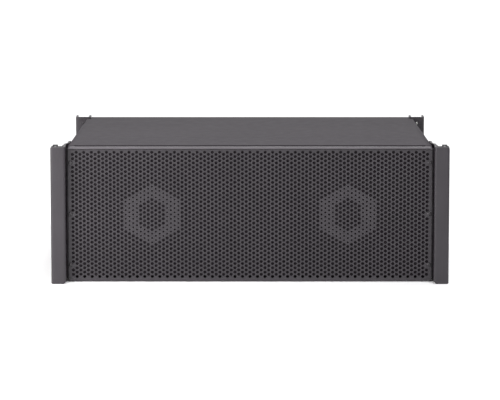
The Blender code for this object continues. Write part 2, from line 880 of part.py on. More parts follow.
def rail_channel(name, side):
    """The folded front of a rail, with its outer top corner rounded and its inner bottom corner cut off."""
    outer = WIDTH / 2
    section = rounded(
        [
            (RAIL_INNER, RAIL_LIP_REAR, 0),
            (RAIL_INNER, FRONT, FOLD_RADIUS),
            (outer, FRONT, FOLD_RADIUS),
            (outer, RAIL_LIP_REAR, 0),
            (outer - STEEL, RAIL_LIP_REAR, 0),
            (outer - STEEL, FRONT + STEEL, 0),
            (RAIL_INNER + STEEL, FRONT + STEEL, 0),
            (RAIL_INNER + STEEL, RAIL_LIP_REAR, 0),
        ],
        3,
    )
    mirrored = [(side * x, y) for x, y in section]
    channel = plate("front_rail_" + name, "painted_steel", mirrored, HEIGHT, (0, 0, MIDDLE))
    past = 0.001
    front_view = rounded(
        [
            (side * (RAIL_INNER - past), RAIL_CHAMFER + past, 0),
            (side * (RAIL_INNER + RAIL_CHAMFER), 0, 0),
            (side * outer, 0, 0.003),
            (side * outer, HEIGHT, 0.005),
            (side * (RAIL_INNER - past), HEIGHT, 0),
        ],
        4,
    )
    ends = plate("front_rail_ends_" + name, None, front_view, 0.060, (0, FRONT, 0), FACING_FRONT)
    combined(channel, ends, "INTERSECT")
    return channel


def rail_inner_flange(name, side):
    """It runs back from the channel, steps in and lies on the cabinet's side. Its edges follow the wedge."""
    root = RAIL_LIP_REAR - 0.001
    hair = 0.0001  # keeps its faces off those of the channel that it joins
    near = half_width(FLANGE_STEP_REAR) + GAP
    far = half_width(INNER_FLANGE_REAR) + GAP
    bend = 0.0015  # the outer face of the sheet bends a little later than its inner face
    section = [
        (RAIL_INNER + hair, root),
        (RAIL_INNER + STEEL - hair, root),
        (RAIL_INNER + STEEL - hair, FLANGE_STEP_FRONT + bend),
        (near + STEEL, FLANGE_STEP_REAR + bend),
        (far + STEEL, INNER_FLANGE_REAR),
        (far, INNER_FLANGE_REAR),
        (near, FLANGE_STEP_REAR),
        (RAIL_INNER + hair, FLANGE_STEP_FRONT),
    ]
    mirrored = [(side * x, y) for x, y in section]
    flange = plate("front_rail_flange_" + name, None, mirrored, HEIGHT, (0, 0, MIDDLE))
    rise_front = half_height(root) + INNER_FLANGE_PROUD
    rise_rear = half_height(INNER_FLANGE_REAR) + INNER_FLANGE_PROUD
    past = 0.001
    side_view = rounded(
        [
            (root - past, -rise_front, 0),
            (INNER_FLANGE_REAR + past, -rise_rear, INNER_FLANGE_CORNER),
            (INNER_FLANGE_REAR + past, rise_rear, INNER_FLANGE_CORNER),
            (root - past, rise_front, 0),
        ]
    )
    place = (side * RAIL_INNER, 0, MIDDLE)
    trim = facing_side("front_rail_trim_" + name, None, side_view, 2 * RAIL_WIDTH, place)
    combined(flange, trim, "INTERSECT")
    return flange


def rail_outer_flange(name, side):
    """A side plate with the two pull pins' holes, a little shorter than the channel at both ends."""
    front = FRONT + STEEL - 0.001
    high = MIDDLE - OUTER_FLANGE_DROP
    outline = rounded(
        [
            (front, -high, 0),
            (OUTER_FLANGE_REAR, -high, FLANGE_CORNER),
            (OUTER_FLANGE_REAR, high, FLANGE_CORNER),
            (front, high, 0),
        ]
    )
    holes = [circle(FRONT_PIN_Y, z - MIDDLE, PIN_RADIUS + GAP) for z in (UPPER_PIN_Z, LOWER_PIN_Z)]
    place = (side * (OUTER_FLANGE_X + STEEL / 2), 0, MIDDLE)
    return facing_side("front_rail_outer_flange_" + name, None, outline, STEEL, place, holes)


def front_rail(name, side):
    """A channel open to the rear, whose two flanges hold the link and its pins between them."""
    rail = rail_channel(name, side)
    join(rail, rail_inner_flange(name, side), rail_outer_flange(name, side))
    for z in (UPPER_PIN_Z, LOWER_PIN_Z):
        place = (side * (RAIL_INNER + STEEL / 2), FRONT_PIN_Y, z)
        bored = f"front_rail_pin_hole_{name}_{z}"
        cut(rail, rod(bored, None, PIN_RADIUS + GAP, 2 * STEEL, place, (0, math.pi / 2, 0), 14))


def link_guide(name, side):
    """A plastic block behind the top of the channel's web, notched for the link that slides past it."""
    end = 0.001
    low = HEIGHT - OUTER_FLANGE_DROP + end
    high = HEIGHT - end
    inner = RAIL_INNER + STEEL + GAP
    outer = WIDTH / 2 - STEEL - GAP
    front = FRONT + STEEL + GAP
    block = box(
        "link_guide_" + name,
        "black_plastic",
        (outer - inner, RAIL_LIP_REAR - front, high - low),
        (side * (inner + outer) / 2, (RAIL_LIP_REAR + front) / 2, (low + high) / 2),
    )
    link_front = FRONT_PIN_Y - LINK_WIDTH / 2 - GAP
    notch = box(
        "link_guide_notch_" + name,
        None,
        (LINK_THICKNESS + 2 * GAP, LINK_WIDTH, LINK_WIDTH),
        (side * LINK_X, link_front + LINK_WIDTH / 2, HEIGHT),
    )
    cut(block, notch)


def front_link(name, side):
    """A flat bar that slides up out of the channel, guided by the upper pin in its slot."""
    half = LINK_WIDTH / 2
    bottom = LINK_BOTTOM_Z - UPPER_PIN_Z
    top = LINK_TOP_Z - UPPER_PIN_Z
    slot_half = PIN_RADIUS + GAP
    slot_low = -LINK_TRAVEL - slot_half
    slot_corner = slot_half * 0.98
    slot = rounded(
        [
            (-slot_half, slot_low, slot_corner),
            (slot_half, slot_low, slot_corner),
            (slot_half, slot_half, slot_corner),
            (-slot_half, slot_half, slot_corner),
        ],
        4,
    )
    outline = rounded(
        [(-half, bottom, 0.004), (half, bottom, 0.004), (half, top, 0.0135), (-half, top, 0.0135)]
    )
    eye = circle(0, LINK_EYE_Z - UPPER_PIN_Z, PIN_RADIUS + GAP)
    place = (side * LINK_X, FRONT_PIN_Y, UPPER_PIN_Z)
    facing_side("front_link_" + name, "zinc", outline, LINK_THICKNESS, place, [slot, eye])


def rear_rail(name, side):
    """A channel open to the rear, whose flanges stand a hair past the ends of its web."""
    high_front = half_height(REAR_WEB_Y) + REAR_RAIL_PROUD
    high_rear = half_height(REAR) + REAR_RAIL_PROUD
    web_height = 2 * high_front - 0.001
    width = REAR_RAIL_OUTER - REAR_RAIL_INNER
    web_place = (side * REAR_RAIL_X, REAR_WEB_Y + STEEL / 2, MIDDLE)
    rail = box("rear_rail_" + name, "painted_steel", (width, STEEL, web_height), web_place)
    outline = rounded(
        [
            (REAR_WEB_Y, -high_front, 0),
            (REAR, -high_rear, 0.010),
            (REAR, high_rear, 0.010),
            (REAR_WEB_Y, high_front, 0),
        ]
    )
    holes = [
        circle(ARM_PIVOT_Y, ARM_PIVOT_Z - MIDDLE, ARM_PIVOT_RADIUS + GAP),
        circle(ARM_PIVOT_Y, REAR_PIN_Z - MIDDLE, PIN_RADIUS + GAP),
    ]
    for part, x in (("inner", REAR_RAIL_INNER + STEEL / 2), ("outer", REAR_RAIL_OUTER - STEEL / 2)):
        flange_name = f"rear_rail_{part}_flange_{name}"
        join(rail, facing_side(flange_name, None, outline, STEEL, (side * x, 0, MIDDLE), holes))


def rear_arm(name, side):
    """The splay arm hangs in the rear channel. Each of its holes sets one angle between two cabinets."""
    half = ARM_WIDTH / 2
    pivot_hole = circle(0, 0, ARM_PIVOT_RADIUS + GAP)
    holes = [pivot_hole]
    for i in range(ARM_HOLES):
        holes.append(circle(ARM_ZIGZAG * (-1) ** i, -ARM_FIRST_HOLE - i * ARM_HOLE_STEP, PIN_RADIUS + GAP))
    outline = rounded(
        [(-half, half, 0.0145), (-half, -ARM_REACH, 0.009), (half, -ARM_REACH, 0.009), (half, half, 0.0145)]
    )
    place = (side * REAR_RAIL_X, ARM_PIVOT_Y, ARM_PIVOT_Z)
    arm = facing_side("rear_arm_" + name, "zinc", outline, ARM_THICKNESS, place, holes)
    between_flanges = REAR_RAIL_OUTER - REAR_RAIL_INNER - 2 * STEEL
    boss = facing_side(
        "rear_arm_boss_" + name, None, circle(0, 0, 0.011, 24), between_flanges - 0.001, place, [pivot_hole]
    )
    join(arm, boss)
    length = REAR_RAIL_OUTER - REAR_RAIL_INNER - 2 * GAP
    rod("arm_pivot_pin_" + name, "zinc", ARM_PIVOT_RADIUS, length, place, (0, math.pi / 2, 0), 20)


def pull_pin(name, side, x, y, z, shank):
    """A quick-release pin: a grooved button head on a chamfered shank. Its origin is where the head seats."""
    profile = [
        (0, 0.0070),
        (0.0072, 0.0070),
        (0.0090, 0.0060),
        (0.0090, 0.0048),
        (0.0074, 0.0042),
        (0.0074, 0.0030),
        (0.0090, 0.0024),
        (0.0090, GAP),
        (PIN_RADIUS, GAP),
        (PIN_RADIUS, 0.0012 - shank),
        (PIN_RADIUS - 0.0012, -shank),
        (0, -shank),
    ]
    turned(name, "zinc", profile, (side * x, y, z), (0, side * math.pi / 2, 0), 14)


def rigging():
    for name, side in SIDES.items():
        front_rail(name, side)
        link_guide(name, side)
        front_link(name, side)
        rear_rail(name, side)
        rear_arm(name, side)
        seat = OUTER_FLANGE_X + STEEL
        front_shank = seat - RAIL_INNER + 0.001
        pull_pin("pull_pin_front_upper_" + name, side, seat, FRONT_PIN_Y, UPPER_PIN_Z, front_shank)
        pull_pin("pull_pin_front_lower_" + name, side, seat, FRONT_PIN_Y, LOWER_PIN_Z, front_shank)
        rear_shank = REAR_RAIL_OUTER - REAR_RAIL_INNER - GAP
        pull_pin("pull_pin_rear_" + name, side, REAR_RAIL_OUTER, ARM_PIVOT_Y, REAR_PIN_Z, rear_shank)


# ---------------------------------------------------------------- the object


def main():
    cabinet_panels()
    side_panels()
    front_baffle()
    rear_panel()
    grille()
    grille_foam()
    for name, side in SIDES.items():
        woofer(name, side)
        handle(name, side)
    waveguide()
    for name, level in (("upper", 1), ("lower", -1)):
        hf_driver(name, level)
    input_panel()
    crossover_board()
    internal_cables()
    rigging()


main()
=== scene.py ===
"""Looks of the compact line array loudspeaker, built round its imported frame.

Metres, +Z up, the front faces -Y. "left" is -X and "right" is +X.
"""

import json
import math

import bmesh
import bpy
from mathutils import Matrix, Vector


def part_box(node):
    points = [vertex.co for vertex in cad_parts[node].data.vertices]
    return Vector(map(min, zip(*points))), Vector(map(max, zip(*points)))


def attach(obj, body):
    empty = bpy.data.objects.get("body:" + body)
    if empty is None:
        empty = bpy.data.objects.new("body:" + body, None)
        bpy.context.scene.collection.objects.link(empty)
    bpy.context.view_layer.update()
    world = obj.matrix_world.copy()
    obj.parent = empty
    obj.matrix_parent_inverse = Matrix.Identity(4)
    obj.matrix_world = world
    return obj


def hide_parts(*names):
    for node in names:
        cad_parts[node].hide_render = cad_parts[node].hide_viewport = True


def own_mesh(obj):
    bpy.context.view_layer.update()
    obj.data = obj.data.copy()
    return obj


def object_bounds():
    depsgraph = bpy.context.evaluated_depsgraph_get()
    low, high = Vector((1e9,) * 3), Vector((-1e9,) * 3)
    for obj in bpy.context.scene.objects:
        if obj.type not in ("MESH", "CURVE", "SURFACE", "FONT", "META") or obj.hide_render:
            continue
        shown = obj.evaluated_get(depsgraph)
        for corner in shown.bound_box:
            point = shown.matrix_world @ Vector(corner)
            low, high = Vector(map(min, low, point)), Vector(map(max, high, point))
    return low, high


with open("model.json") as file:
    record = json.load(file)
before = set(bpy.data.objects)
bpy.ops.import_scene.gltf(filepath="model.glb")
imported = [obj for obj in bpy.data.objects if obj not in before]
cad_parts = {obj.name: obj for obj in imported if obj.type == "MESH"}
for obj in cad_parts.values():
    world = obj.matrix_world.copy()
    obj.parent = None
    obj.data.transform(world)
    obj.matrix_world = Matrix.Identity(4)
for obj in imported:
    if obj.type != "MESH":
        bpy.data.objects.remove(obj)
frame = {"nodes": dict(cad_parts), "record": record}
CAD_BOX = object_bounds()
SCENE = bpy.context.scene
SLOT_OF = {part["node"]: part["material_slot"] for part in frame["record"]["subparts"]}
BODIES = frame["record"]["behaviour"]["bodies"]
BODY_OF = {node: body for body, nodes in BODIES.items() for node in nodes}
SIDES = {"left": -1, "right": 1}
GAP = 0.0003  # between pieces that touch
CLEAR = 0.004  # how far a cutter reaches past what it cuts

# View
LENS = 285.8  # focal length in millimetres
SENSOR = 36  # its width in millimetres
CAMERA_DISTANCE = 7.239  # in front of the rails' faces
CAMERA_HEIGHT = 1.604
CAMERA_TILT = 11.28  # degrees down

# Overall
OUTER = CAD_BOX[1].x
FRONT = CAD_BOX[0].y
TOP = CAD_BOX[1].z
MIDDLE = TOP / 2

# Cabinet: a wedge in side view and a trapezium in plan
WEDGE = math.radians(2.5)
TAPER = math.radians(3.08)
CABINET_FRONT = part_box("side_panel_left")[0].y
FRONT_HALF_WIDTH = 0.339
FRONT_HALF_HEIGHT = 0.1283

# Perforated sheet, with a rolled bead along its top and a fold along its bottom
SHEET = 0.0015
SHEET_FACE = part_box("grille")[0].y
COLUMN_STEP = 0.00703
PITCH = 0.00815  # from hole to hole in a column
COLUMNS = 95
OUTER_ROWS = 29
HOLE = 0.0031  # radius
SMALL_HOLE = 0.0020
PATTERN_DROP = 0.0016  # from the cabinet's middle to the pattern's
MOTIF_COLUMN = 26  # a ring's middle, from the pattern's middle
MOTIF_RINGS = (4, 7)  # innermost and outermost small hole, from a ring's middle
GRILLE_SCREW_RISE = 0.09696
GRILLE_SCREW_ROWS = (0, 12)  # from the middle, where a hole gives way to a screw
GRILLE_SCREW_HOLE = 0.0013
BEAD = 0.0026  # outer radius
BEAD_FOOT = 0.2511
BOTTOM_FOLD = 0.0010

# Rigging
STEEL = 0.004
FOLD = 0.0045  # outer radius of a front rail's folds
INNER_FOLD = 0.0008
RAIL_INNER = OUTER - 0.028
LIP_REAR = -0.2065
FLANGE_STEP = (-0.1805, -0.1720)  # where a front rail's inner flange starts and stops stepping in
FLANGE_REAR = -0.135
FLANGE_BOLT_Y = -0.152
OUTER_FLANGE = (0.3595, 0.3635)
OUTER_FLANGE_REAR = -0.165
PIN = 0.004  # radius of a pull pin
PIN_HEAD = 0.0070
FRONT_PIN_Y = -0.197
FRONT_PIN_HEIGHTS = (0.196, 0.024)
REAR_PIN = (0.203, 0.041)  # in (y, z)
PIVOT = (0.203, 0.219)  # of a rear arm, in (y, z)
PIVOT_PIN = 0.006
LINK_TRAVEL = 0.062

# ---------- camera, floor and light


def camera():
    """A long lens, a little above the object and square to its front."""
    data = bpy.data.cameras.new("camera")
    data.lens = LENS
    data.sensor_width = SENSOR
    data.clip_end = 100
    obj = bpy.data.objects.new("camera", data)
    obj.location = (0.0, FRONT - CAMERA_DISTANCE, CAMERA_HEIGHT)
    obj.rotation_euler = (math.radians(90 - CAMERA_TILT), 0, 0)
    SCENE.collection.objects.link(obj)
    SCENE.camera = obj


def area_light(name, place, target, size, power, colour):
    """A round light of this many watts that faces its target."""
    data = bpy.data.lights.new(name, "AREA")
    data.shape = "DISK"
    data.size = size
    data.energy = power
    data.color = colour
    obj = bpy.data.objects.new(name, data)
    obj.location = place
    obj.rotation_euler = (Vector(target) - Vector(place)).to_track_quat("-Z", "Y").to_euler()
    obj.visible_camera = False
    SCENE.collection.objects.link(obj)


def studio():
    """White surroundings, a key light on the left, one overhead, and fills for the foot and the floor."""
    world = bpy.data.worlds.new("studio")
    world.use_nodes = True
    surroundings = world.node_tree.nodes["Background"].inputs
    surroundings["Color"].default_value = (1, 1, 1, 1)
    surroundings["Strength"].default_value = 0.50
    SCENE.world = world
    SCENE.view_settings.view_transform = "Standard"
    middle = (0, 0, MIDDLE)
    area_light("key", (-1.05, -1.1, 0.6), middle, size=1.1, power=25, colour=(1.0, 0.985, 0.985))
    area_light("overhead", (0.9, -1.3, 3.2), middle, size=1.3, power=76, colour=(0.98, 0.98, 1.0))
    area_light("low_fill", (0.3, -2.2, 0.3), (0, 0, 0.05), size=0.5, power=2, colour=(1.0, 0.99, 1.0))
    area_light("floor_fill", (0.0, 4.5, 4.5), (0, 3.0, 0), size=3.0, power=230, colour=(1.0, 1.0, 1.0))


def floor():
    """Pale paper, well past the edges of the view."""
    form = bmesh.new()
    bmesh.ops.create_grid(form, x_segments=8, y_segments=8, size=30)
    obj = solid("floor", form)
    look = Look("floor_paper")
    look.colour(look.noise(3, 6), (0.86, 0.86, 0.86), (0.90, 0.90, 0.90))
    look.shader("Roughness", 0.85)
    look.bump(look.noise(160, 3), 0.0004, 0.3)
    obj.data.materials.append(look.material)


# ---------- meshes

PLAN = Matrix.Identity(4)  # an outline in (x, y), swept along Z
SIDE = Matrix(((0, 0, 1, 0), (1, 0, 0, 0), (0, 1, 0, 0), (0, 0, 0, 1)))  # in (y, z), swept along X
FACE = Matrix(((1, 0, 0, 0), (0, 0, 1, 0), (0, 1, 0, 0), (0, 0, 0, 1)))  # in (x, z), swept along Y


def solid(name, form, outward=True):
    """A new object from a bmesh."""
    if outward:
        bmesh.ops.recalc_face_normals(form, faces=form.faces)
        if form.calc_volume(signed=True) < 0:
            bmesh.ops.reverse_faces(form, faces=form.faces)
    mesh = bpy.data.meshes.new(name)
    form.to_mesh(mesh)
    form.free()
    obj = bpy.data.objects.new(name, mesh)
    SCENE.collection.objects.link(obj)
    return obj


def settled(obj):
    """Applies the object's modifiers."""
    bpy.context.view_layer.update()
    graph = bpy.context.evaluated_depsgraph_get()
    mesh = bpy.data.meshes.new_from_object(obj.evaluated_get(graph))
    mesh.name = obj.name
    obj.modifiers.clear()
    obj.data = mesh
    return obj


def smooth(obj, degrees=35):
    """Shades the object smooth, but for the edges that turn by more than the angle."""
    obj.data.shade_smooth()
    obj.data.set_sharp_from_angle(angle=math.radians(degrees))
    return obj


def softened(obj, width, segments=3, degrees=35):
    """Rounds the edges that turn by more than the angle, and keeps the flat faces flat."""
    obj.data.shade_smooth()
    bevel = obj.modifiers.new("Edges", "BEVEL")
    bevel.width = width
    bevel.segments = segments
    bevel.limit_method = "ANGLE"
    bevel.angle_limit = math.radians(degrees)
    bevel.harden_normals = True
    return settled(obj)


def cut(obj, *cutters):
    """Takes each cutter's shape out of the object, and the cutter out of the scene."""
    for cutter in cutters:
        boolean = obj.modifiers.new("Cut", "BOOLEAN")
        boolean.operation = "DIFFERENCE"
        boolean.solver = "EXACT"
        boolean.object = cutter
    settled(obj)
    for cutter in cutters:
        bpy.data.objects.remove(cutter, do_unlink=True)
    return obj


def prism(name, outline, low, high, plane, holes=()):
    """An outline with holes, swept from low to high."""
    form = bmesh.new()
    loops = [[form.verts.new((x, y, low)) for x, y in loop] for loop in (outline, *holes)]
    if holes:
        edges = [form.edges.new(pair) for loop in loops for pair in zip(loop, loop[1:] + loop[:1])]
        bmesh.ops.triangle_fill(form, edges=edges, use_beauty=True)
    else:
        form.faces.new(loops[0])
    swept = bmesh.ops.extrude_face_region(form, geom=form.faces[:], use_keep_orig=True)
    moved = [item for item in swept["geom"] if isinstance(item, bmesh.types.BMVert)]
    bmesh.ops.translate(form, vec=(0, 0, high - low), verts=moved)
    form.transform(plane)
    return solid(name, form)


def polar(x, y, radius, turn):
    """The point at a turn of a circle about (x, y)."""
    return (x + radius * math.cos(turn), y + radius * math.sin(turn))


def circle(x, y, radius, count=40):
    return [polar(x, y, radius, 2 * math.pi * i / count) for i in range(count)]


def rounded(corners, steps=8):
    """An outline through corners of (x, y, radius), each rounded by an arc of its radius."""
    outline = []
    for i, (x, y, radius) in enumerate(corners):
        here = Vector((x, y))
        if radius == 0:
            outline.append((x, y))
            continue
        back = (Vector(corners[i - 1][:2]) - here).normalized()
        ahead = (Vector(corners[(i + 1) % len(corners)][:2]) - here).normalized()
        half = back.angle(ahead) / 2
        centre = here + (back + ahead).normalized() * radius / math.sin(half)
        start = here + back * radius / math.tan(half) - centre
        end = here + ahead * radius / math.tan(half) - centre
        first = math.atan2(start.y, start.x)
        sweep = (math.atan2(end.y, end.x) - first + math.pi) % (2 * math.pi) - math.pi
        for step in range(steps + 1):
            outline.append(polar(*centre, radius, first + sweep * step / steps))
    return outline


def rounded_rectangle(width, height, radius, x=0.0, y=0.0, steps=8):
    """The outline of a rectangle about (x, y)."""
    right, top = x + width / 2, y + height / 2
    left, bottom = x - width / 2, y - height / 2
    corners = [(left, bottom), (right, bottom), (right, top), (left, top)]
    return rounded([(*corner, radius) for corner in corners], steps)


def axis(place, direction):
    """A frame at a place whose Z points along the direction."""
    turn = Vector(direction).to_track_quat("Z", "Y").to_matrix().to_4x4()
    return Matrix.Translation(place) @ turn


def loft_into(form, rings):
    """Skins rings of as many points each, and fills the first and the last."""
    made = [[form.verts.new(point) for point in ring] for ring in rings]
    for ring, following in zip(made, made[1:]):
        for i in range(len(ring)):
            j = (i + 1) % len(ring)
            form.faces.new((ring[i], ring[j], following[j], following[i]))
    form.faces.new(made[0])
    form.faces.new(made[-1])


def turn_into(form, profile, place, direction, steps):
    """Turns a profile of (radius, height) about a direction."""
    matrix = axis(place, direction)
    rings = []
    for radius, height in profile:
        rings.append([matrix @ Vector((*point, height)) for point in circle(0, 0, radius, steps)])
    loft_into(form, rings)


def turned(name, profile, place, direction, steps=48):
    """A piece turned from a profile of (radius, height)."""
    form = bmesh.new()
    turn_into(form, profile, place, direction, steps)
    return smooth(solid(name, form))


def hexagon(across, count):
    """Points on a hexagon that is this wide across its flats."""
    points = []
    for i in range(count):
        turn = 2 * math.pi * i / count
        reach = across / 2 / math.cos(turn % (math.pi / 3) - math.pi / 6)
        points.append(polar(0, 0, reach, turn))
    return points


def button_screws(name, places, direction, radius, height, node=None, slot="black_screw"):
    """A piece of round-headed screws with hexagon sockets. A place is the middle of a head's seat."""
    count = 36
    form = bmesh.new()
    # Shares of the radius and of the height
    dome = [(0.92, 0.0), (1.0, 0.06), (1.0, 0.22), (0.93, 0.55), (0.78, 0.82), (0.60, 0.97), (0.52, 1.0)]
    socket_rim, socket_floor = 0.96, 0.30
    across = radius * 0.84
    for place in places:
        matrix = axis(place, direction)
        flat = [(circle(0, 0, radius * share, count), height * rise) for share, rise in dome]
        flat += [(hexagon(across, count), height * rise) for rise in (socket_rim, socket_floor)]
        loft_into(form, [[matrix @ Vector((*point, rise)) for point in ring] for ring, rise in flat])
    finish_piece(smooth(solid(name, form), 30), slot, node)


def refined(name, node, width, degrees=60):
    """A copy of a CAD node with its coplanar triangles merged and its edges rounded."""
    form = bmesh.new()
    form.from_mesh(frame["nodes"][node].data)
    bmesh.ops.remove_doubles(form, verts=form.verts, dist=0.000002)
    flat = math.radians(0.5)
    bmesh.ops.dissolve_limit(form, angle_limit=flat, verts=form.verts, edges=form.edges)
    return softened(solid(name, form), width, degrees=degrees)


def finish_piece(piece, slot, node=None, body="cabinet", look=None):
    """Gives a piece the material of its look, or else of its slot, and its body. It stands for a CAD node,
    if it has one.
    """
    piece.data.materials.clear()
    piece.data.materials.append(MATERIALS[look or slot])
    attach(piece, BODY_OF[node] if node else body)
    if node:
        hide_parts(node)
    return piece


# ---------- materials


class Look:
    """One procedural material, whose patterns follow the object's own coordinates."""

    def __init__(self, name):
        self.material = bpy.data.materials.new(name)
        self.material.use_nodes = True
        self.tree = self.material.node_tree
        self.principled = self.tree.nodes["Principled BSDF"]
        self.place = self.tree.nodes.new("ShaderNodeTexCoord").outputs["Object"]
        self.last_bump = None

    def fill(self, socket, value):
        """Sets an input, or links it where the value is another node's output."""
        if isinstance(value, bpy.types.NodeSocket):
            self.tree.links.new(value, socket)
        else:
            socket.default_value = value

    def node(self, kind, **inputs):
        node = self.tree.nodes.new("ShaderNode" + kind)
        for name, value in inputs.items():
            self.fill(node.inputs[name], value)
        return node

    def shader(self, name, value):
        self.fill(self.principled.inputs[name], value)

    def mapped(self, stretch):
        return self.node("Mapping", Vector=self.place, Scale=stretch).outputs["Vector"]

    def noise(self, scale, detail, stretch=(1, 1, 1), roughness=0.5, distortion=0.0):
        settings = {"Scale": scale, "Detail": detail, "Roughness": roughness, "Distortion": distortion}
        return self.node("TexNoise", Vector=self.mapped(stretch), **settings).outputs[0]

    def cells(self, scale, feature="F1", stretch=(1, 1, 1)):
        cells = self.node("TexVoronoi", Vector=self.mapped(stretch), Scale=scale)
        cells.feature = feature
        return cells.outputs["Distance"]

    def waves(self, scale, direction):
        waves = self.node("TexWave", Vector=self.place, Scale=scale)
        waves.bands_direction = direction
        return waves.outputs["Fac"]

    def product(self, a, b):
        node = self.node("Math")
        node.operation = "MULTIPLY"
        self.fill(node.inputs[0], a)
        self.fill(node.inputs[1], b)
        return node.outputs[0]

    def spread(self, value, low, high, to_low=0.0, to_high=1.0):
        """Maps low to high onto to_low to to_high, and no further."""
        limits = {"From Min": low, "From Max": high, "To Min": to_low, "To Max": to_high}
        return self.node("MapRange", Value=value, **limits).outputs["Result"]

    def edges(self, radius=0.0012):
        """High along the edges of the piece, worked out from its own shape."""
        bevel = self.node("Bevel", Radius=radius)
        bevel.samples = 4
        dot = self.node("VectorMath")
        dot.operation = "DOT_PRODUCT"
        self.fill(dot.inputs[0], bevel.outputs[0])
        self.fill(dot.inputs[1], self.node("NewGeometry").outputs["Normal"])
        return self.spread(dot.outputs["Value"], 0.995, 0.80)

    def ramp(self, value, dark, light, low=0.3, high=0.7):
        ramp = self.node("ValToRGB", Fac=value)
        for stop, position, colour in zip(ramp.color_ramp.elements, (low, high), (dark, light)):
            stop.position = position
            stop.color = (*colour, 1)
        return ramp.outputs["Color"]

    def mixed(self, factor, under, over):
        """Over lies on under where the factor is high. Over is a plain colour."""
        mix = self.node("Mix", Factor=factor)
        mix.data_type = "RGBA"
        self.fill(mix.inputs[6], under)
        self.fill(mix.inputs[7], (*over, 1))
        return mix.outputs[2]

    def base(self, colour):
        self.shader("Base Color", colour)

    def colour(self, value, dark, light, low=0.3, high=0.7):
        self.base(self.ramp(value, dark, light, low, high))

    def roughness(self, value, smoothest, roughest):
        self.shader("Roughness", self.spread(value, 0.3, 0.7, smoothest, roughest))

    def bump(self, height, distance, strength):
        bump = self.node("Bump", Height=height, Distance=distance, Strength=strength)
        if self.last_bump:
            self.fill(bump.inputs["Normal"], self.last_bump)
        self.last_bump = bump.outputs["Normal"]
        self.shader("Normal", self.last_bump)


def tinted(colour, share):
    return tuple(channel * share for channel in colour)


def cabinet_paint(look):
    """Rolled, pebbled enclosure paint: hard, matt, a little dusty and paler where its edges are knocked."""
    paint = (0.034, 0.029, 0.035)
    mottled = look.ramp(look.noise(5, 2), tinted(paint, 0.97), tinted(paint, 1.03), 0.35, 0.65)
    pebble = look.noise(950, 2, roughness=0.6)
    speckled = look.mixed(look.spread(pebble, 0.52, 0.72, 0, 0.35), mottled, tinted(paint, 1.40))
    dust = look.spread(look.noise(12, 3, roughness=0.6), 0.50, 0.80, 0, 0.03)
    dusty = look.mixed(dust, speckled, (0.12, 0.115, 0.11))
    knocks = look.product(look.edges(), look.spread(look.noise(170, 4), 0.50, 0.62))
    look.base(look.mixed(look.product(knocks, 0.45), dusty, (0.13, 0.12, 0.12)))
    look.roughness(look.noise(60, 4), 0.70, 0.76)
    look.shader("Specular IOR Level", 0.18)
    look.bump(look.cells(620, "SMOOTH_F1"), 0.00030, 0.55)
    look.bump(pebble, 0.00016, 0.5)


def painted_steel(look):
    """Powder coat over folded steel: a fine orange peel, faint rubs and paler knocks on the edges."""
    paint = (0.030, 0.0265, 0.031)
    mottled = look.ramp(look.noise(14, 4), tinted(paint, 0.94), tinted(paint, 1.06), 0.35, 0.65)
    pale_streaks = look.spread(look.noise(420, 3, stretch=(1, 1, 0.06)), 0.60, 0.80, 0, 0.10)
    rubbed = look.mixed(pale_streaks, mottled, (0.11, 0.105, 0.105))
    knocks = look.product(look.edges(), look.spread(look.noise(240, 4), 0.48, 0.60))
    look.base(look.mixed(look.product(knocks, 0.4), rubbed, (0.15, 0.14, 0.14)))
    look.roughness(look.noise(85, 4), 0.36, 0.46)
    look.shader("Specular IOR Level", 0.36)
    look.bump(look.noise(1500, 2), 0.00010, 0.6)
    look.bump(look.noise(260, 2), 0.00012, 0.25)


def rubbed_paint(look):
    """The same paint made paler: a painted highlight for the grille's rolled bead, whose curve catches the
    light.
    """
    # A paler tone of the paint, standing in for the bead's highlight
    paint = (0.080, 0.073, 0.081)
    mottled = look.ramp(look.noise(26, 3), tinted(paint, 0.94), tinted(paint, 1.06), 0.35, 0.65)
    # Paler streaks across the painted highlight
    pale_streaks = look.spread(look.noise(300, 3, stretch=(0.06, 1, 1)), 0.55, 0.80, 0, 0.20)
    look.base(look.mixed(pale_streaks, mottled, tinted(paint, 1.5)))
    look.roughness(look.noise(85, 4), 0.34, 0.44)
    look.shader("Specular IOR Level", 0.36)
    look.bump(look.noise(900, 3), 0.00008, 0.5)


def zinc_steel(look):
    """Zinc-plated steel: cloudy, warm in places, with fine draw marks."""
    cloudy = look.ramp(look.noise(26, 6), (0.42, 0.42, 0.41), (0.66, 0.65, 0.60))
    marks = look.noise(900, 2, stretch=(1, 0.05, 1))
    look.base(look.mixed(look.spread(marks, 0.55, 0.75, 0, 0.35), cloudy, (0.30, 0.30, 0.31)))
    look.roughness(look.noise(140, 5), 0.30, 0.48)
    look.shader("Metallic", 1.0)
    look.bump(marks, 0.00006, 0.4)


def black_screw(look):
    """Black-oxide steel, brighter where a key has turned it."""
    oxide = look.ramp(look.noise(300, 4), (0.035, 0.033, 0.036), (0.075, 0.070, 0.075))
    rubbed = look.product(look.edges(0.0006), look.spread(look.noise(700, 3), 0.45, 0.6))
    look.base(look.mixed(look.product(rubbed, 0.6), oxide, (0.32, 0.31, 0.30)))
    look.roughness(look.noise(500, 3), 0.30, 0.46)
    look.shader("Metallic", 0.75)
    look.bump(look.noise(2200, 2), 0.00004, 0.5)


def foam(look):
    """Open-celled acoustic foam."""
    cell = look.cells(1150)
    look.colour(cell, (0.026, 0.023, 0.026), (0.009, 0.007, 0.009), 0.15, 0.55)
    look.roughness(look.noise(300, 3), 0.90, 1.0)
    look.shader("Specular IOR Level", 0.15)
    look.bump(cell, 0.0006, 1.0)


def black_plastic(look):
    """Moulded plastic with a spark-eroded grain."""
    look.colour(look.noise(45, 5), (0.011, 0.010, 0.011), (0.020, 0.019, 0.020))
    look.roughness(look.noise(120, 4), 0.50, 0.68)
    look.shader("Specular IOR Level", 0.3)
    look.bump(look.noise(1700, 3), 0.00007, 0.6)


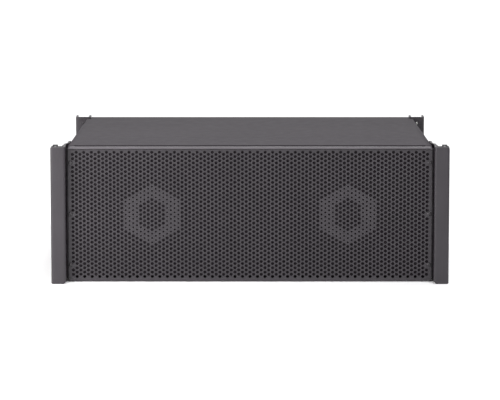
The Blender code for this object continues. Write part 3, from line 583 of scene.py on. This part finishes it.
def gap_shade_rubber(look):
    """Soft, matt rubber of a dark grey for the strips in the grille's side gaps: painted shade, standing in
    for the shade in those gaps.
    """
    look.colour(look.noise(60, 4), (0.030, 0.027, 0.031), (0.042, 0.038, 0.043))
    look.roughness(look.noise(200, 4), 0.70, 0.88)
    look.shader("Specular IOR Level", 0.2)
    look.bump(look.noise(800, 3), 0.00010, 0.5)


def channel_shade_plastic(look):
    """Very dark, dull plastic for the link guides: painted shade, standing in for the shade inside the
    rails' mouths.
    """
    look.colour(look.noise(90, 5), (0.008, 0.007, 0.008), (0.016, 0.015, 0.016))
    look.roughness(look.noise(260, 4), 0.80, 0.95)
    look.shader("Specular IOR Level", 0.06)
    look.bump(look.noise(1300, 3), 0.00010, 0.6)


def bare_plywood(look):
    """Birch plywood: long grain on its faces and thin plies at its edges."""
    grain = look.noise(60, 7, stretch=(0.12, 1.4, 1), distortion=0.8)
    wood = look.ramp(grain, (0.36, 0.24, 0.13), (0.56, 0.42, 0.26))
    pores = look.spread(look.noise(700, 2, stretch=(0.05, 1, 1)), 0.62, 0.75, 0, 0.5)
    look.base(look.mixed(pores, wood, (0.20, 0.12, 0.06)))
    look.roughness(look.noise(200, 3), 0.60, 0.78)
    look.bump(grain, 0.0002, 0.4)


def cone_paper(look):
    """Pressed paper pulp with long fibres, coated dark."""
    fibres = look.noise(420, 6, stretch=(1, 0.4, 1), distortion=1.5)
    look.colour(fibres, (0.022, 0.021, 0.022), (0.058, 0.055, 0.056), 0.35, 0.68)
    look.roughness(fibres, 0.70, 0.88)
    look.bump(fibres, 0.00025, 0.6)


def surround_rubber(look):
    look.colour(look.noise(70, 4), (0.014, 0.014, 0.014), (0.028, 0.027, 0.027))
    look.roughness(look.noise(160, 4), 0.55, 0.72)
    look.bump(look.noise(1300, 2), 0.00005, 0.5)


def spider_cloth(look):
    """Phenolic-dipped cotton, woven square."""
    weave = look.product(look.waves(420, "X"), look.waves(420, "Z"))
    cloth = look.ramp(weave, (0.30, 0.20, 0.08), (0.62, 0.47, 0.22), 0.1, 0.6)
    look.base(look.mixed(look.spread(look.noise(50, 4), 0.4, 0.7, 0, 0.4), cloth, (0.40, 0.27, 0.11)))
    look.roughness(weave, 0.70, 0.90)
    look.bump(weave, 0.0002, 0.8)


def cast_aluminium(look):
    look.colour(look.noise(90, 6), (0.24, 0.24, 0.25), (0.36, 0.36, 0.37))
    look.roughness(look.noise(130, 5), 0.42, 0.60)
    look.shader("Metallic", 0.85)
    look.bump(look.noise(800, 4), 0.00012, 0.7)


def ferrite(look):
    specks = look.spread(look.cells(900), 0.05, 0.30, 1, 0)
    body = look.ramp(look.noise(60, 6), (0.055, 0.055, 0.060), (0.095, 0.095, 0.10))
    look.base(look.mixed(look.product(specks, 0.25), body, (0.20, 0.20, 0.21)))
    look.roughness(look.noise(220, 4), 0.50, 0.72)
    look.bump(look.noise(1100, 4), 0.00015, 0.6)


def coil_copper(look):
    """Enamelled wire, wound turn by turn along the driver's axis."""
    turns = look.waves(500, "Y")
    look.colour(turns, (0.42, 0.17, 0.08), (0.78, 0.40, 0.22), 0.15, 0.6)
    look.roughness(look.noise(300, 3), 0.25, 0.40)
    look.shader("Metallic", 1.0)
    look.bump(turns, 0.0002, 0.8)


def titanium(look):
    look.colour(look.noise(120, 5), (0.46, 0.45, 0.43), (0.60, 0.59, 0.57))
    look.roughness(look.noise(400, 4), 0.24, 0.38)
    look.shader("Metallic", 1.0)
    look.bump(look.noise(1500, 2), 0.00003, 0.5)


def circuit_board(look):
    """Solder mask over tracks."""
    tracks = look.spread(look.cells(120, "DISTANCE_TO_EDGE", (1, 0.2, 2.2)), 0.03, 0.06)
    mask = look.ramp(look.noise(80, 4), (0.012, 0.085, 0.040), (0.022, 0.125, 0.060))
    look.base(look.mixed(tracks, mask, (0.035, 0.19, 0.085)))
    look.roughness(look.noise(200, 3), 0.30, 0.48)
    look.bump(tracks, 0.00006, 0.6)


def cable_sleeve(look):
    look.colour(look.noise(150, 4), (0.018, 0.018, 0.018), (0.040, 0.039, 0.039))
    look.roughness(look.noise(260, 4), 0.42, 0.62)
    look.bump(look.noise(900, 3), 0.00008, 0.5)


MATERIALS = {}
for make in (
    cabinet_paint, painted_steel, rubbed_paint, zinc_steel, black_screw, foam, black_plastic,
    channel_shade_plastic, gap_shade_rubber, bare_plywood, cone_paper, surround_rubber, spider_cloth,
    cast_aluminium, ferrite, coil_copper, titanium, circuit_board, cable_sleeve,
):
    made = Look(make.__name__)
    make(made)
    MATERIALS[make.__name__] = made.material


def cad_materials():
    """Every CAD node gets the procedural material of its slot."""
    for node, obj in frame["nodes"].items():
        obj.data.materials.clear()
        obj.data.materials.append(MATERIALS[SLOT_OF[node]])
        smooth(obj)


# ---------- shape of the cabinet


def half_width(y):
    return FRONT_HALF_WIDTH - (y - CABINET_FRONT) * math.tan(TAPER)


def half_height(y):
    return FRONT_HALF_HEIGHT - (y - CABINET_FRONT) * math.tan(WEDGE)


def cabinet():
    """The painted panels, each with its edges rounded by a width."""
    widths = {"top": 0.0005, "bottom": 0.0010, "side": 0.0010, "rear": 0.0012}
    for node in ("top_panel", "bottom_panel", "side_panel_left", "side_panel_right", "rear_panel"):
        width = widths[node.split("_")[0]]
        finish_piece(refined("painted_" + node, node, width), "cabinet_paint", node)


# ---------- grille


def is_small(column, row_height):
    """Two hexagonal rings of smaller holes, one in front of each half of the cabinet."""
    across = abs(abs(column) - MOTIF_COLUMN)
    up = abs(row_height) / PITCH
    distance = max(across, up + across / 2)
    return MOTIF_RINGS[0] <= distance <= MOTIF_RINGS[1]


def grille_cells():
    """(x, height, hole radius) of each hole of a triangular lattice. Six give way to the screws."""
    half = COLUMNS // 2
    for column in range(-half, half + 1):
        rows = OUTER_ROWS + (column - half) % 2
        for row in range(rows):
            height = (row - (rows - 1) / 2) * PITCH
            near_screw = abs(column) == half and round(abs(height) / PITCH) in GRILLE_SCREW_ROWS
            if not near_screw:
                yield column * COLUMN_STEP, height, SMALL_HOLE if is_small(column, height) else HOLE


def perforate(form):
    """Makes a hexagon with a hole in it for each cell, and returns the edges round them all."""
    corners = {}

    def corner(x, z):
        key = (round(x, 5), round(z, 5))
        if key not in corners:
            corners[key] = form.verts.new((x, SHEET_FACE, z))
        return corners[key]

    sides = 12
    across, up = COLUMN_STEP / 1.5, PITCH / math.sqrt(3)
    for x, height, radius in grille_cells():
        z = MIDDLE - PATTERN_DROP + height
        cell = [corner(x + across * c, z + up * s) for c, s in circle(0, 0, 1, sides // 2)]
        hole = [form.verts.new((u, SHEET_FACE, v)) for u, v in circle(x, z, radius, sides)]
        for i in range(sides // 2):
            following = (i + 1) % (sides // 2)
            arc = (hole[(2 * i + 2) % sides], hole[2 * i + 1], hole[2 * i])
            form.faces.new((cell[i], cell[following], *arc))
    known = set(corners.values())
    return [edge for edge in form.edges if edge.is_boundary and known.issuperset(edge.verts)]


def grille_ends():
    """X across the sheet, closer together at its ends, where its corners are rounded."""
    left = [-FRONT_HALF_WIDTH + inside for inside in (0.0, 0.0005, 0.0012, 0.0022, 0.0034, 0.0050)]
    return left + [-x for x in reversed(left)]


def corner_drop(x, radius):
    """How far a rounded corner has dropped from the straight edge, at x."""
    inside = FRONT_HALF_WIDTH - abs(x)
    return radius - math.sqrt(radius**2 - max(0.0, radius - inside) ** 2)


def bead_profile():
    """The sheet stepped in to a groove and rolled over into the top bead, in (y, z)."""
    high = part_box("grille")[1].z
    centre_y, centre_z = SHEET_FACE - 0.0002, high - 0.0005 - BEAD
    groove = SHEET_FACE + 0.0018
    profile = [
        (SHEET_FACE, BEAD_FOOT),
        (SHEET_FACE + 0.0003, BEAD_FOOT + 0.0002),
        (groove, BEAD_FOOT + 0.0003),
        (groove, centre_z - BEAD),
        (centre_y + 0.0004, centre_z - BEAD),
    ]
    steps = 15
    for step in range(steps + 1):
        profile.append(polar(centre_y, centre_z, BEAD, math.radians(270 - 250 * step / steps)))
    return profile


def fold_profile():
    """The sheet folded back along its bottom, a little below its CAD solid, in (y, z)."""
    low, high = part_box("grille")
    foot = low.z - 0.0006
    profile = [(SHEET_FACE, foot + BOTTOM_FOLD + 0.0005)]
    steps = 6
    for step in range(steps + 1):
        turn = math.radians(180 + 90 * step / steps)
        profile.append(polar(SHEET_FACE + BOTTOM_FOLD, foot + BOTTOM_FOLD, BOTTOM_FOLD, turn))
    profile.append((high.y, foot))
    return profile


def sweep_across(form, profile, corner_radius):
    """Sweeps a profile along X with its far corners rounded, and returns the points of its first line."""
    ends = grille_ends()
    foot = profile[0][1]
    tip = max((z for _, z in profile), key=lambda z: abs(z - foot))
    rows = []
    for y, z in profile:
        row = []
        for x in ends:
            share = 1 - corner_drop(x, corner_radius) / abs(tip - foot)
            row.append(form.verts.new((x, y, foot + (z - foot) * share)))
        rows.append(row)
    for row, following in zip(rows, rows[1:]):
        for i in range(len(ends) - 1):
            form.faces.new((row[i], row[i + 1], following[i + 1], following[i]))
    return rows[0]


def grille():
    """One folded, perforated sheet, with a paler paint on its bead as a painted highlight."""
    form = bmesh.new()
    edges = perforate(form)
    top = sweep_across(form, bead_profile(), 0.0040)
    bottom = sweep_across(form, fold_profile(), 0.0020)
    outline = top + bottom[::-1]
    for pair in zip(outline, outline[1:] + outline[:1]):
        edges.append(form.edges.get(pair) or form.edges.new(pair))
    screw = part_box("grille_screw_1")
    for side in SIDES.values():
        x = side * abs(screw[0].x + screw[1].x) / 2
        for rise in (-GRILLE_SCREW_RISE, 0, GRILLE_SCREW_RISE):
            points = circle(x, MIDDLE + rise, GRILLE_SCREW_HOLE, 16)
            loop = [form.verts.new((u, SHEET_FACE, v)) for u, v in points]
            edges += [form.edges.new(pair) for pair in zip(loop, loop[1:] + loop[:1])]
    bmesh.ops.triangle_fill(form, edges=edges, use_beauty=True)
    bmesh.ops.recalc_face_normals(form, faces=form.faces)
    form.faces.ensure_lookup_table()
    if form.faces[0].normal.y > 0:
        bmesh.ops.reverse_faces(form, faces=form.faces)
    sheet = solid("perforated_grille", form, outward=False)
    thick = sheet.modifiers.new("Sheet", "SOLIDIFY")
    thick.thickness = SHEET
    thick.offset = -1
    thick.use_even_offset = True
    settled(sheet)
    for vertex in sheet.data.vertices:
        vertex.co.x = max(-FRONT_HALF_WIDTH, min(FRONT_HALF_WIDTH, vertex.co.x))
    finish_piece(smooth(sheet, 40), "painted_steel", "grille")
    # The bead's faces take the paler paint: a painted highlight where the rolled bead catches the light
    sheet.data.materials.append(MATERIALS["rubbed_paint"])
    for polygon in sheet.data.polygons:
        if polygon.center.z > BEAD_FOOT + 0.0010 and polygon.normal.y < 0.2:
            polygon.material_index = 1


def grille_foam():
    """Foam behind every hole, thin between the sheet and the panels, and dark foam strips above and below
    it, which line the grooves there as painted shade.
    """
    low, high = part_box("grille_foam")
    back = SHEET_FACE + SHEET
    width, height = 0.667, 0.238  # of the thin part
    pad_width, pad_height = high.x - low.x - 0.001, high.z - low.z - 0.001
    sections = [
        (width - 0.0006, height - 0.0006, 0.003, back + 0.0001),
        (width, height, 0.003, back + 0.0002),
        (width, height, 0.003, low.y + 0.0001),
        (pad_width, pad_height, 0.004, low.y + 0.0002),
        (pad_width, pad_height, 0.004, high.y - 0.0010),
        (pad_width - 0.0020, pad_height - 0.0020, 0.004, high.y),
    ]
    finish_piece(rectangular_loft("cut_grille_foam", 0, MIDDLE, sections), "foam", "grille_foam")
    # Dark foam lines the rear walls of the grooves beside the sheet's top and bottom edges: painted shade,
    # so the grooves read dark
    front, rear, half_length, rises = -0.1970, -0.1922, 0.3265, (0.1184, 0.1270)
    for where, up in (("top", 1), ("bottom", -1)):
        z0, z1 = sorted(MIDDLE + up * rise for rise in rises)
        outline = [(front, z0), (rear, z0), (rear, z1), (front, z1)]
        strip = prism("groove_shade_strip_" + where, outline, -half_length, half_length, SIDE)
        finish_piece(softened(strip, 0.0005, 2), "foam")


def gap_shade_fillers():
    """Dark grey strips in the gaps between the sheet's ends and the rails: painted shade, standing in for
    the shade of those gaps.
    """
    pin_tip = abs(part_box("pull_pin_front_upper_right")[0].x)
    front, rear, corner, foot, head = -0.2030, -0.1998, 0.0006, 0.0040, 0.2530
    for name, side in SIDES.items():
        x0, x1 = span(side, FRONT_HALF_WIDTH + GAP, pin_tip - GAP)
        outline = rounded([(x0, rear, 0), (x1, rear, 0), (x1, front, corner), (x0, front, corner)])
        strip = prism("gap_shade_filler_" + name, outline, foot, head, PLAN)
        finish_piece(smooth(strip), "black_plastic", look="gap_shade_rubber")


def grille_screws():
    for number in range(1, 7):
        node = f"grille_screw_{number}"
        low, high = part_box(node)
        middle = (low + high) / 2
        seat = SHEET_FACE - GAP
        places = [(middle.x, seat, middle.z)]
        button_screws(f"grille_button_{number}", places, (0, -1, 0), 0.0038, seat - low.y, node)


# ---------- rigging


def mirrored(outline, side):
    return [(side * x, y) for x, y in outline]


def span(side, inner, outer):
    """Two distances from the middle as X, the lower first."""
    return sorted((side * inner, side * outer))


def beyond(high_line, rear, corner, top):
    """What lies above a top edge and behind its rounded rear corner, in (y, rise above the middle)."""
    (y0, z0), (y1, z1) = high_line
    arc = rounded([(y0, z0, 0), (y1, z1, corner), (y1, z1 - 2 * corner, 0)], 10)[1:-1]
    start = y0 - 0.0001
    return [(start, z0), *arc, (rear, arc[-1][1]), (rear, top), (start, top)]


def flange_cutters(wide, front_rise, rear_y, rear_rise, corner):
    """What shapes a flange's top and bottom edges and rounds its rear corners."""
    shape = beyond(((LIP_REAR, front_rise), (rear_y, rear_rise)), rear_y + CLEAR, corner, MIDDLE + CLEAR)
    loops = [[(y, MIDDLE + up * rise) for y, rise in shape] for up in (-1, 1)]
    return [prism("flange_end", loop, *wide, SIDE) for loop in loops]


def face_cutters(side):
    """What rounds the outer corners of a front rail and chamfers the inner corner of its foot."""
    reach, head_radius, foot_radius, chamfer = 0.02, 0.005, 0.003, 0.005
    head = rounded([(OUTER - reach, TOP, 0), (OUTER, TOP, head_radius), (OUTER, TOP - reach, 0)], 10)[1:-1]
    head += [(OUTER + CLEAR, head[-1][1]), (OUTER + CLEAR, TOP + CLEAR), (head[0][0], TOP + CLEAR)]
    foot = rounded([(OUTER, reach, 0), (OUTER, 0, foot_radius), (OUTER - reach, 0, 0)])[1:-1]
    foot += [(foot[-1][0], -CLEAR), (OUTER + CLEAR, -CLEAR), (OUTER + CLEAR, foot[0][1])]
    inner = RAIL_INNER - CLEAR
    notch = [(inner, chamfer + CLEAR), (inner, -CLEAR), (RAIL_INNER + chamfer + CLEAR, -CLEAR)]
    return [
        prism("head_corner", mirrored(head, side), FRONT - CLEAR, 0, FACE),
        prism("foot_corner", mirrored(foot, side), FRONT - CLEAR, 0, FACE),
        prism("chamfer", mirrored(notch, side), FRONT - CLEAR, LIP_REAR, FACE),
    ]


def front_rail(name, side):
    """A folded channel, whose inner flange steps in to the cabinet's side, with a plate in its lip."""
    node = "front_rail_" + name
    near, far = half_width(FLANGE_STEP[1]) + GAP, half_width(FLANGE_REAR) + GAP
    web, bend, lean = FRONT + STEEL, 0.003, 0.0015
    plan = [
        (far, FLANGE_REAR, 0),
        (near, FLANGE_STEP[1], bend),
        (RAIL_INNER, FLANGE_STEP[0], bend),
        (RAIL_INNER, FRONT, FOLD),
        (OUTER, FRONT, FOLD),
        (OUTER, LIP_REAR, 0),
        (OUTER - STEEL, LIP_REAR, 0),
        (OUTER - STEEL, web, INNER_FOLD),
        (OUTER_FLANGE[1], web, INNER_FOLD),
        (OUTER_FLANGE[1], OUTER_FLANGE_REAR, 0),
        (OUTER_FLANGE[0], OUTER_FLANGE_REAR, 0),
        (OUTER_FLANGE[0], web, INNER_FOLD),
        (RAIL_INNER + STEEL, web, INNER_FOLD),
        (RAIL_INNER + STEEL, FLANGE_STEP[0] + lean, bend),
        (near + STEEL, FLANGE_STEP[1] + lean, bend),
        (far + STEEL, FLANGE_REAR, 0),
    ]
    rail = prism("folded_" + node, mirrored(rounded(plan), side), 0, TOP, PLAN)
    past, proud = 0.002, 0.001
    outer_wide = span(side, OUTER_FLANGE[0] - past, OUTER_FLANGE[1] + past)
    outer_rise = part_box(node)[1].z - 0.010 - MIDDLE
    inner_wide = span(side, far - CLEAR, RAIL_INNER + STEEL + past)
    inner_rises = [half_height(y) + proud for y in (LIP_REAR, FLANGE_REAR)]
    cutters = flange_cutters(outer_wide, outer_rise, OUTER_FLANGE_REAR, outer_rise, 0.018)
    cutters += flange_cutters(inner_wide, inner_rises[0], FLANGE_REAR, inner_rises[1], 0.006)
    cutters += face_cutters(side)
    for z in FRONT_PIN_HEIGHTS:
        bore = circle(FRONT_PIN_Y, z, PIN + GAP, 32)
        cutters.append(prism("bore", bore, *span(side, far - CLEAR, OUTER_FLANGE[1] + past), SIDE))
    finish_piece(softened(cut(rail, *cutters), 0.0005, 2), "painted_steel", node)
    seat = side * (half_width(FLANGE_BOLT_Y) + GAP + STEEL)
    places = [(seat, FLANGE_BOLT_Y, MIDDLE + rise) for rise in (-0.085, -0.030, 0.030, 0.085)]
    outward = (side * math.cos(TAPER), math.sin(TAPER), 0)
    button_screws("front_rail_bolts_" + name, places, outward, radius=0.0055, height=0.0034)


def link_guide(name):
    """A moulded block in the rail's mouth, almost flush with its top, whose prongs reach to the rear."""
    node = "link_guide_" + name
    guide = refined("moulded_" + node, node, 0.0006)
    low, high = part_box(node)
    foot, prong_end = low.z + 0.004, high.y - 0.0015
    # The top is raised and the prongs lengthened so that the dark block fills the rail's mouth: painted
    # shade
    for vertex in guide.data.vertices:
        if vertex.co.z > foot:
            vertex.co.z += 0.0008
        if vertex.co.y > prong_end:
            vertex.co.y += 0.0110
    finish_piece(guide, "black_plastic", node, look="channel_shade_plastic")


def front_link(name):
    """A flat bar with a long slot and an eye."""
    node = "front_link_" + name
    low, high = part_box(node)
    middle_y, half = (low.y + high.y) / 2, (high.y - low.y) / 2
    front, rear, hole = middle_y - half, middle_y + half, PIN + GAP
    foot_corner, head_corner = 0.004, 0.0135
    lower = [(front, low.z, foot_corner), (rear, low.z, foot_corner)]
    outline = rounded([*lower, (rear, high.z, head_corner), (front, high.z, head_corner)], 12)
    slot_middle = FRONT_PIN_HEIGHTS[0] - LINK_TRAVEL / 2
    slot = rounded_rectangle(2 * hole, LINK_TRAVEL + 2 * hole, hole * 0.999, middle_y, slot_middle, 10)
    eye = circle(middle_y, 0.222, hole)
    bar = prism("bar_" + node, outline, low.x, high.x, SIDE, [slot, eye])
    finish_piece(softened(bar, 0.0008), "zinc_steel", node)


def rear_rail(name, side):
    """A folded channel open to the rear. Its ends follow the wedge, a little past the cabinet."""
    node = "rear_rail_" + name
    low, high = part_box(node)
    inner, outer = sorted((abs(low.x), abs(high.x)))
    web, rear = low.y, high.y
    fold = 0.0032
    plan = [
        (inner, rear, 0),
        (inner, web, fold),
        (outer, web, fold),
        (outer, rear, 0),
        (outer - STEEL, rear, 0),
        (outer - STEEL, web + STEEL, INNER_FOLD),
        (inner + STEEL, web + STEEL, INNER_FOLD),
        (inner + STEEL, rear, 0),
    ]
    rail = prism("folded_" + node, mirrored(rounded(plan), side), low.z - CLEAR, high.z + CLEAR, PLAN)
    rise = high.z - MIDDLE
    proud = rise - half_height(web)
    past = 0.13
    ends = beyond(((web, rise + 0.0016), (rear, half_height(rear) + proud)), rear + CLEAR, 0.010, past)
    ends = [(web - CLEAR, ends[0][1]), *ends[1:-1], (web - CLEAR, past)]
    wide = span(side, inner - CLEAR, outer + CLEAR)
    cutters = []
    for up in (-1, 1):
        cutters.append(prism("rail_end", [(y, MIDDLE + up * z) for y, z in ends], *wide, SIDE))
    for (y, z), radius in ((PIVOT, PIVOT_PIN), (REAR_PIN, PIN)):
        cutters.append(prism("bore", circle(y, z, radius + GAP, 36), *wide, SIDE))
    finish_piece(softened(cut(rail, *cutters), 0.0005, 2), "painted_steel", node)
    places = [(side * 0.3258, web, MIDDLE + bolt_rise) for bolt_rise in (0.1026, 0.0, -0.1026)]
    plating = "zinc_steel" if name == "right" else "black_screw"
    button_screws("rear_rail_bolts_" + name, places, (0, -1, 0), radius=0.0027, height=0.0018, slot=plating)


def rear_arm(name):
    """The splay arm: a flat bar with a boss at its pivot and a zigzag of holes, and its pivot pin."""
    node = "rear_arm_" + name
    pivot_y, pivot_z = PIVOT
    low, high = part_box(node)
    middle_x = (low.x + high.x) / 2
    half_thickness, half, boss_radius, seam = 0.005, 0.015, 0.011, 0.0001
    front, rear, head, bore = pivot_y - half, pivot_y + half, pivot_z + half, PIVOT_PIN + GAP
    foot_corner, head_corner = 0.009, 0.0145
    lower = [(front, low.z, foot_corner), (rear, low.z, foot_corner)]
    outline = rounded([(front, head, head_corner), *lower, (rear, head, head_corner)], 12)
    holes = [circle(pivot_y, pivot_z, bore)]
    for i in range(6):
        y, z = pivot_y + 0.0065 * (-1) ** i, pivot_z - 0.047 - 0.007 * i
        holes.append(circle(y, z, PIN + GAP, 32))
    sides = middle_x - half_thickness, middle_x + half_thickness
    bar = prism("bar_" + node, outline, *sides, SIDE, holes)
    finish_piece(softened(bar, 0.0008), "zinc_steel", node)
    for number, (start, end) in enumerate(((low.x, sides[0] - seam), (sides[1] + seam, high.x))):
        rim, hole = circle(pivot_y, pivot_z, boss_radius, 48), circle(pivot_y, pivot_z, bore, 48)
        boss = prism(f"arm_boss_{name}_{number}", rim, start, end, SIDE, [hole])
        finish_piece(softened(boss, 0.0006, 2), "zinc_steel", body=BODY_OF[node])
    pin = "arm_pivot_pin_" + name
    low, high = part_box(pin)
    length = high.x - low.x
    profile = [(0.0050, 0), (0.0058, 0.0006), (0.0058, 0.0012), (PIVOT_PIN, 0.0014)]
    profile += [(radius, length - height) for radius, height in reversed(profile)]
    place = (low.x, (low.y + high.y) / 2, (low.z + high.z) / 2)
    finish_piece(turned("turned_" + pin, profile, place, (1, 0, 0)), "zinc_steel", pin)


def pull_pins():
    """Quick-release pins with a grooved button, a dished end and a chamfered tip."""
    for node in sorted(n for n in frame["nodes"] if n.startswith("pull_pin_")):
        low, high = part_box(node)
        side = 1 if low.x > 0 else -1
        seat = (high.x if side > 0 else -low.x) - PIN_HEAD
        shank = high.x - low.x - PIN_HEAD
        button = [(0.0030, 0.0008), (0.0050, 0.0007), (0.0062, 0), (0.0076, 0), (0.0086, 0.0004)]
        button += [(0.0090, 0.0012), (0.0090, 0.0020), (0.0087, 0.0024), (0.0076, 0.0028)]
        button += [(0.0074, 0.0033), (0.0076, 0.0040), (0.0087, 0.0044), (0.0090, 0.0048)]
        profile = [(radius, PIN_HEAD - depth) for radius, depth in button]
        profile += [(0.0090, 0.0008), (0.0085, GAP), (PIN, GAP)]
        profile += [(PIN, 0.0012 - shank), (PIN - 0.0012, -shank)]
        place = (side * seat, (low.y + high.y) / 2, (low.z + high.z) / 2)
        finish_piece(turned("turned_" + node, profile, place, (side, 0, 0)), "zinc_steel", node)


# ---------- rear panel fittings


def rectangular_loft(name, x, z, sections):
    """Skins rounded rectangles of (width, height, corner radius, y) about (x, z)."""
    form = bmesh.new()
    rings = []
    for width, height, radius, y in sections:
        rings.append([(u, y, v) for u, v in rounded_rectangle(width, height, radius, x, z)])
    loft_into(form, rings)
    return smooth(solid(name, form))


def edge_places(low, high, shares, inset):
    """Places on a rear face, in two rows along its top and bottom edges, at shares of its half width."""
    x, half = (low.x + high.x) / 2, (high.x - low.x) / 2 - inset
    rise = (high.z - low.z) / 2 - inset
    return [(x + share * half, high.y, MIDDLE + up * rise) for share in shares for up in (-1, 1)]


def handle_sections(low, high):
    """A dish's outer side from its floor to its flange, then its inner side back down."""
    width, height = high.x - low.x, high.z - low.z
    face, seat, floor_y = high.y, high.y - 0.0025, low.y
    inside = floor_y + 0.0025
    mouth = (width - 0.024, height - 0.024)
    # How much less each section is than the mouth or the flange, its corner radius and its y
    outer_side = [(0.014, 0.006, floor_y), (0.005, 0.009, floor_y + 0.0012)]
    outer_side += [(0.002, 0.010, floor_y + 0.006), (0.001, 0.010, seat)]
    flange = [(0.0010, 0.0080, seat), (0.0, 0.0085, seat + 0.0005)]
    flange += [(0.0, 0.0085, face - 0.0006), (0.0012, 0.0080, face)]
    inner_side = [(-0.0010, 0.0110, face), (0.0026, 0.0100, face - 0.0008)]
    inner_side += [(0.0046, 0.0095, face - 0.0030), (0.0075, 0.0085, inside + 0.0050)]
    inner_side += [(0.0120, 0.0070, inside + 0.0010), (0.0190, 0.0050, inside)]
    sections = []
    for (wide, tall), part in ((mouth, outer_side), ((width, height), flange), (mouth, inner_side)):
        sections += [(wide - less, tall - less, radius, y) for less, radius, y in part]
    return sections


def handle(name):
    """A pressed steel dish let into the rear panel, with a gripped bar across its mouth."""
    node = "handle_" + name
    low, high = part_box(node)
    x = (low.x + high.x) / 2
    dish = rectangular_loft("pressed_" + node, x, MIDDLE, handle_sections(low, high))
    finish_piece(dish, "painted_steel", node)
    reach = (high.x - low.x - 0.024) / 2 - 0.0022
    rod, rim, grip, groove = 0.0050, 0.0066, 0.0070, 0.0064
    profile = [(rod, -reach), (rod, -0.052), (rim, -0.0515), (grip, -0.0505)]
    ribs, ribbed = 12, 0.096
    for i in range(ribs):
        start = -ribbed / 2 + i * (ribbed / ribs)
        profile += [(grip, start), (groove, start + 0.0008)]
        profile += [(groove, start + 0.0018), (grip, start + 0.0026)]
    profile += [(grip, 0.0505), (rim, 0.0515), (rod, 0.052), (rod, reach)]
    middle = (x, high.y - 0.0025 - 0.009, MIDDLE + 0.014)
    finish_piece(turned("grip_bar_" + name, profile, middle, (1, 0, 0), 32), "surround_rubber")
    places = edge_places(low, high, (-1, 0, 1), inset=0.0060)
    button_screws("handle_screws_" + name, places, (0, 1, 0), radius=0.0035, height=0.0020)


def connector(name):
    """A locking loudspeaker socket: a flanged body, a keyed well and a centre post with its contacts."""
    node = "connector_" + name
    low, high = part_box(node)
    x, face, rearward = (low.x + high.x) / 2, high.y, (0, 1, 0)
    depth = face - low.y
    flange = [(0.0120, 0.0025), (0.0150, 0.0024), (0.0155, 0.0020), (0.0155, 0.0008), (0.0149, 0.0002)]
    mouth = [(0.0142, 0.0), (0.0110, 0.0), (0.0100, 0.0004), (0.0096, 0.0012)]
    body = [(radius, depth - inside) for radius, inside in flange + mouth]
    body = [(0.0120, 0.0), *body, (0.0095, 0.0040)]
    shell = turned("socket_" + node, body, (x, low.y, MIDDLE), rearward, 60)
    keys = []
    for degrees in (20, 110, 200, 290):
        spot = polar(x, MIDDLE, 0.0098, math.radians(degrees))
        keys.append(prism("key", circle(*spot, 0.0013, 16), face - 0.012, face + 0.001, FACE))
    finish_piece(smooth(cut(shell, *keys)), "black_plastic", node)
    post = [(0.0058, 0.0), (0.0058, 0.0118), (0.0052, 0.0126), (0.0030, 0.0128)]
    finish_piece(turned("post_" + node, post, (x, low.y + 0.0042, MIDDLE), rearward), "black_plastic")
    form = bmesh.new()
    contact = ((0.0008, 0.0), (0.0010, 0.0004), (0.0010, 0.0096), (0.0006, 0.0102))
    for i in range(4):
        u, v = polar(x, MIDDLE, 0.0061, math.radians(45 + 90 * i))
        turn_into(form, contact, (u, low.y + 0.0045, v), rearward, 12)
    finish_piece(smooth(solid("contacts_" + node, form)), "coil_copper")
    off = 0.0089
    places = [(x - off, face, MIDDLE + off), (x + off, face, MIDDLE - off)]
    button_screws("connector_screws_" + name, places, rearward, radius=0.0013, height=0.0006)


def input_panel():
    """A steel plate with its screws and its two sockets."""
    low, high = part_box("input_panel")
    sockets = [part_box("connector_" + name) for name in ("input", "link")]
    holes = [circle((a.x + b.x) / 2, MIDDLE, 0.0126, 48) for a, b in sockets]
    outline = rounded_rectangle(high.x - low.x, high.z - low.z, 0.004, 0, MIDDLE)
    panel = prism("plate_input_panel", outline, low.y, high.y, FACE, holes)
    finish_piece(softened(panel, 0.0004, 2), "painted_steel", "input_panel")
    places = edge_places(low, high, (-1, 0, 1), inset=0.007)
    button_screws("input_panel_screws", places, (0, 1, 0), radius=0.0035, height=0.0020)
    for name in ("input", "link"):
        connector(name)


def rear_panel_screws():
    low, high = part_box("rear_panel")
    inset = 0.009
    places = edge_places(low, high, (-1, -0.52, 0, 0.52, 1), inset)
    places += [(side * (high.x - inset), high.y, MIDDLE) for side in SIDES.values()]
    button_screws("rear_panel_screws", places, (0, 1, 0), radius=0.0042, height=0.0022)


# ---------- drivers


def spiders():
    """The corrugated spiders, each with a mesh of its own."""
    for name in SIDES:
        node = f"woofer_{name}_spider"
        cloth = finish_piece(refined("corrugated_spider_" + name, node, 0.0002), "spider_cloth", node)
        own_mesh(cloth)


# ---------- the object

camera()
studio()
floor()
cad_materials()
cabinet()
grille()
grille_foam()
gap_shade_fillers()
grille_screws()
for name, side in SIDES.items():
    front_rail(name, side)
    link_guide(name)
    front_link(name)
    rear_rail(name, side)
    rear_arm(name)
    handle(name)
pull_pins()
input_panel()
rear_panel_screws()
spiders()
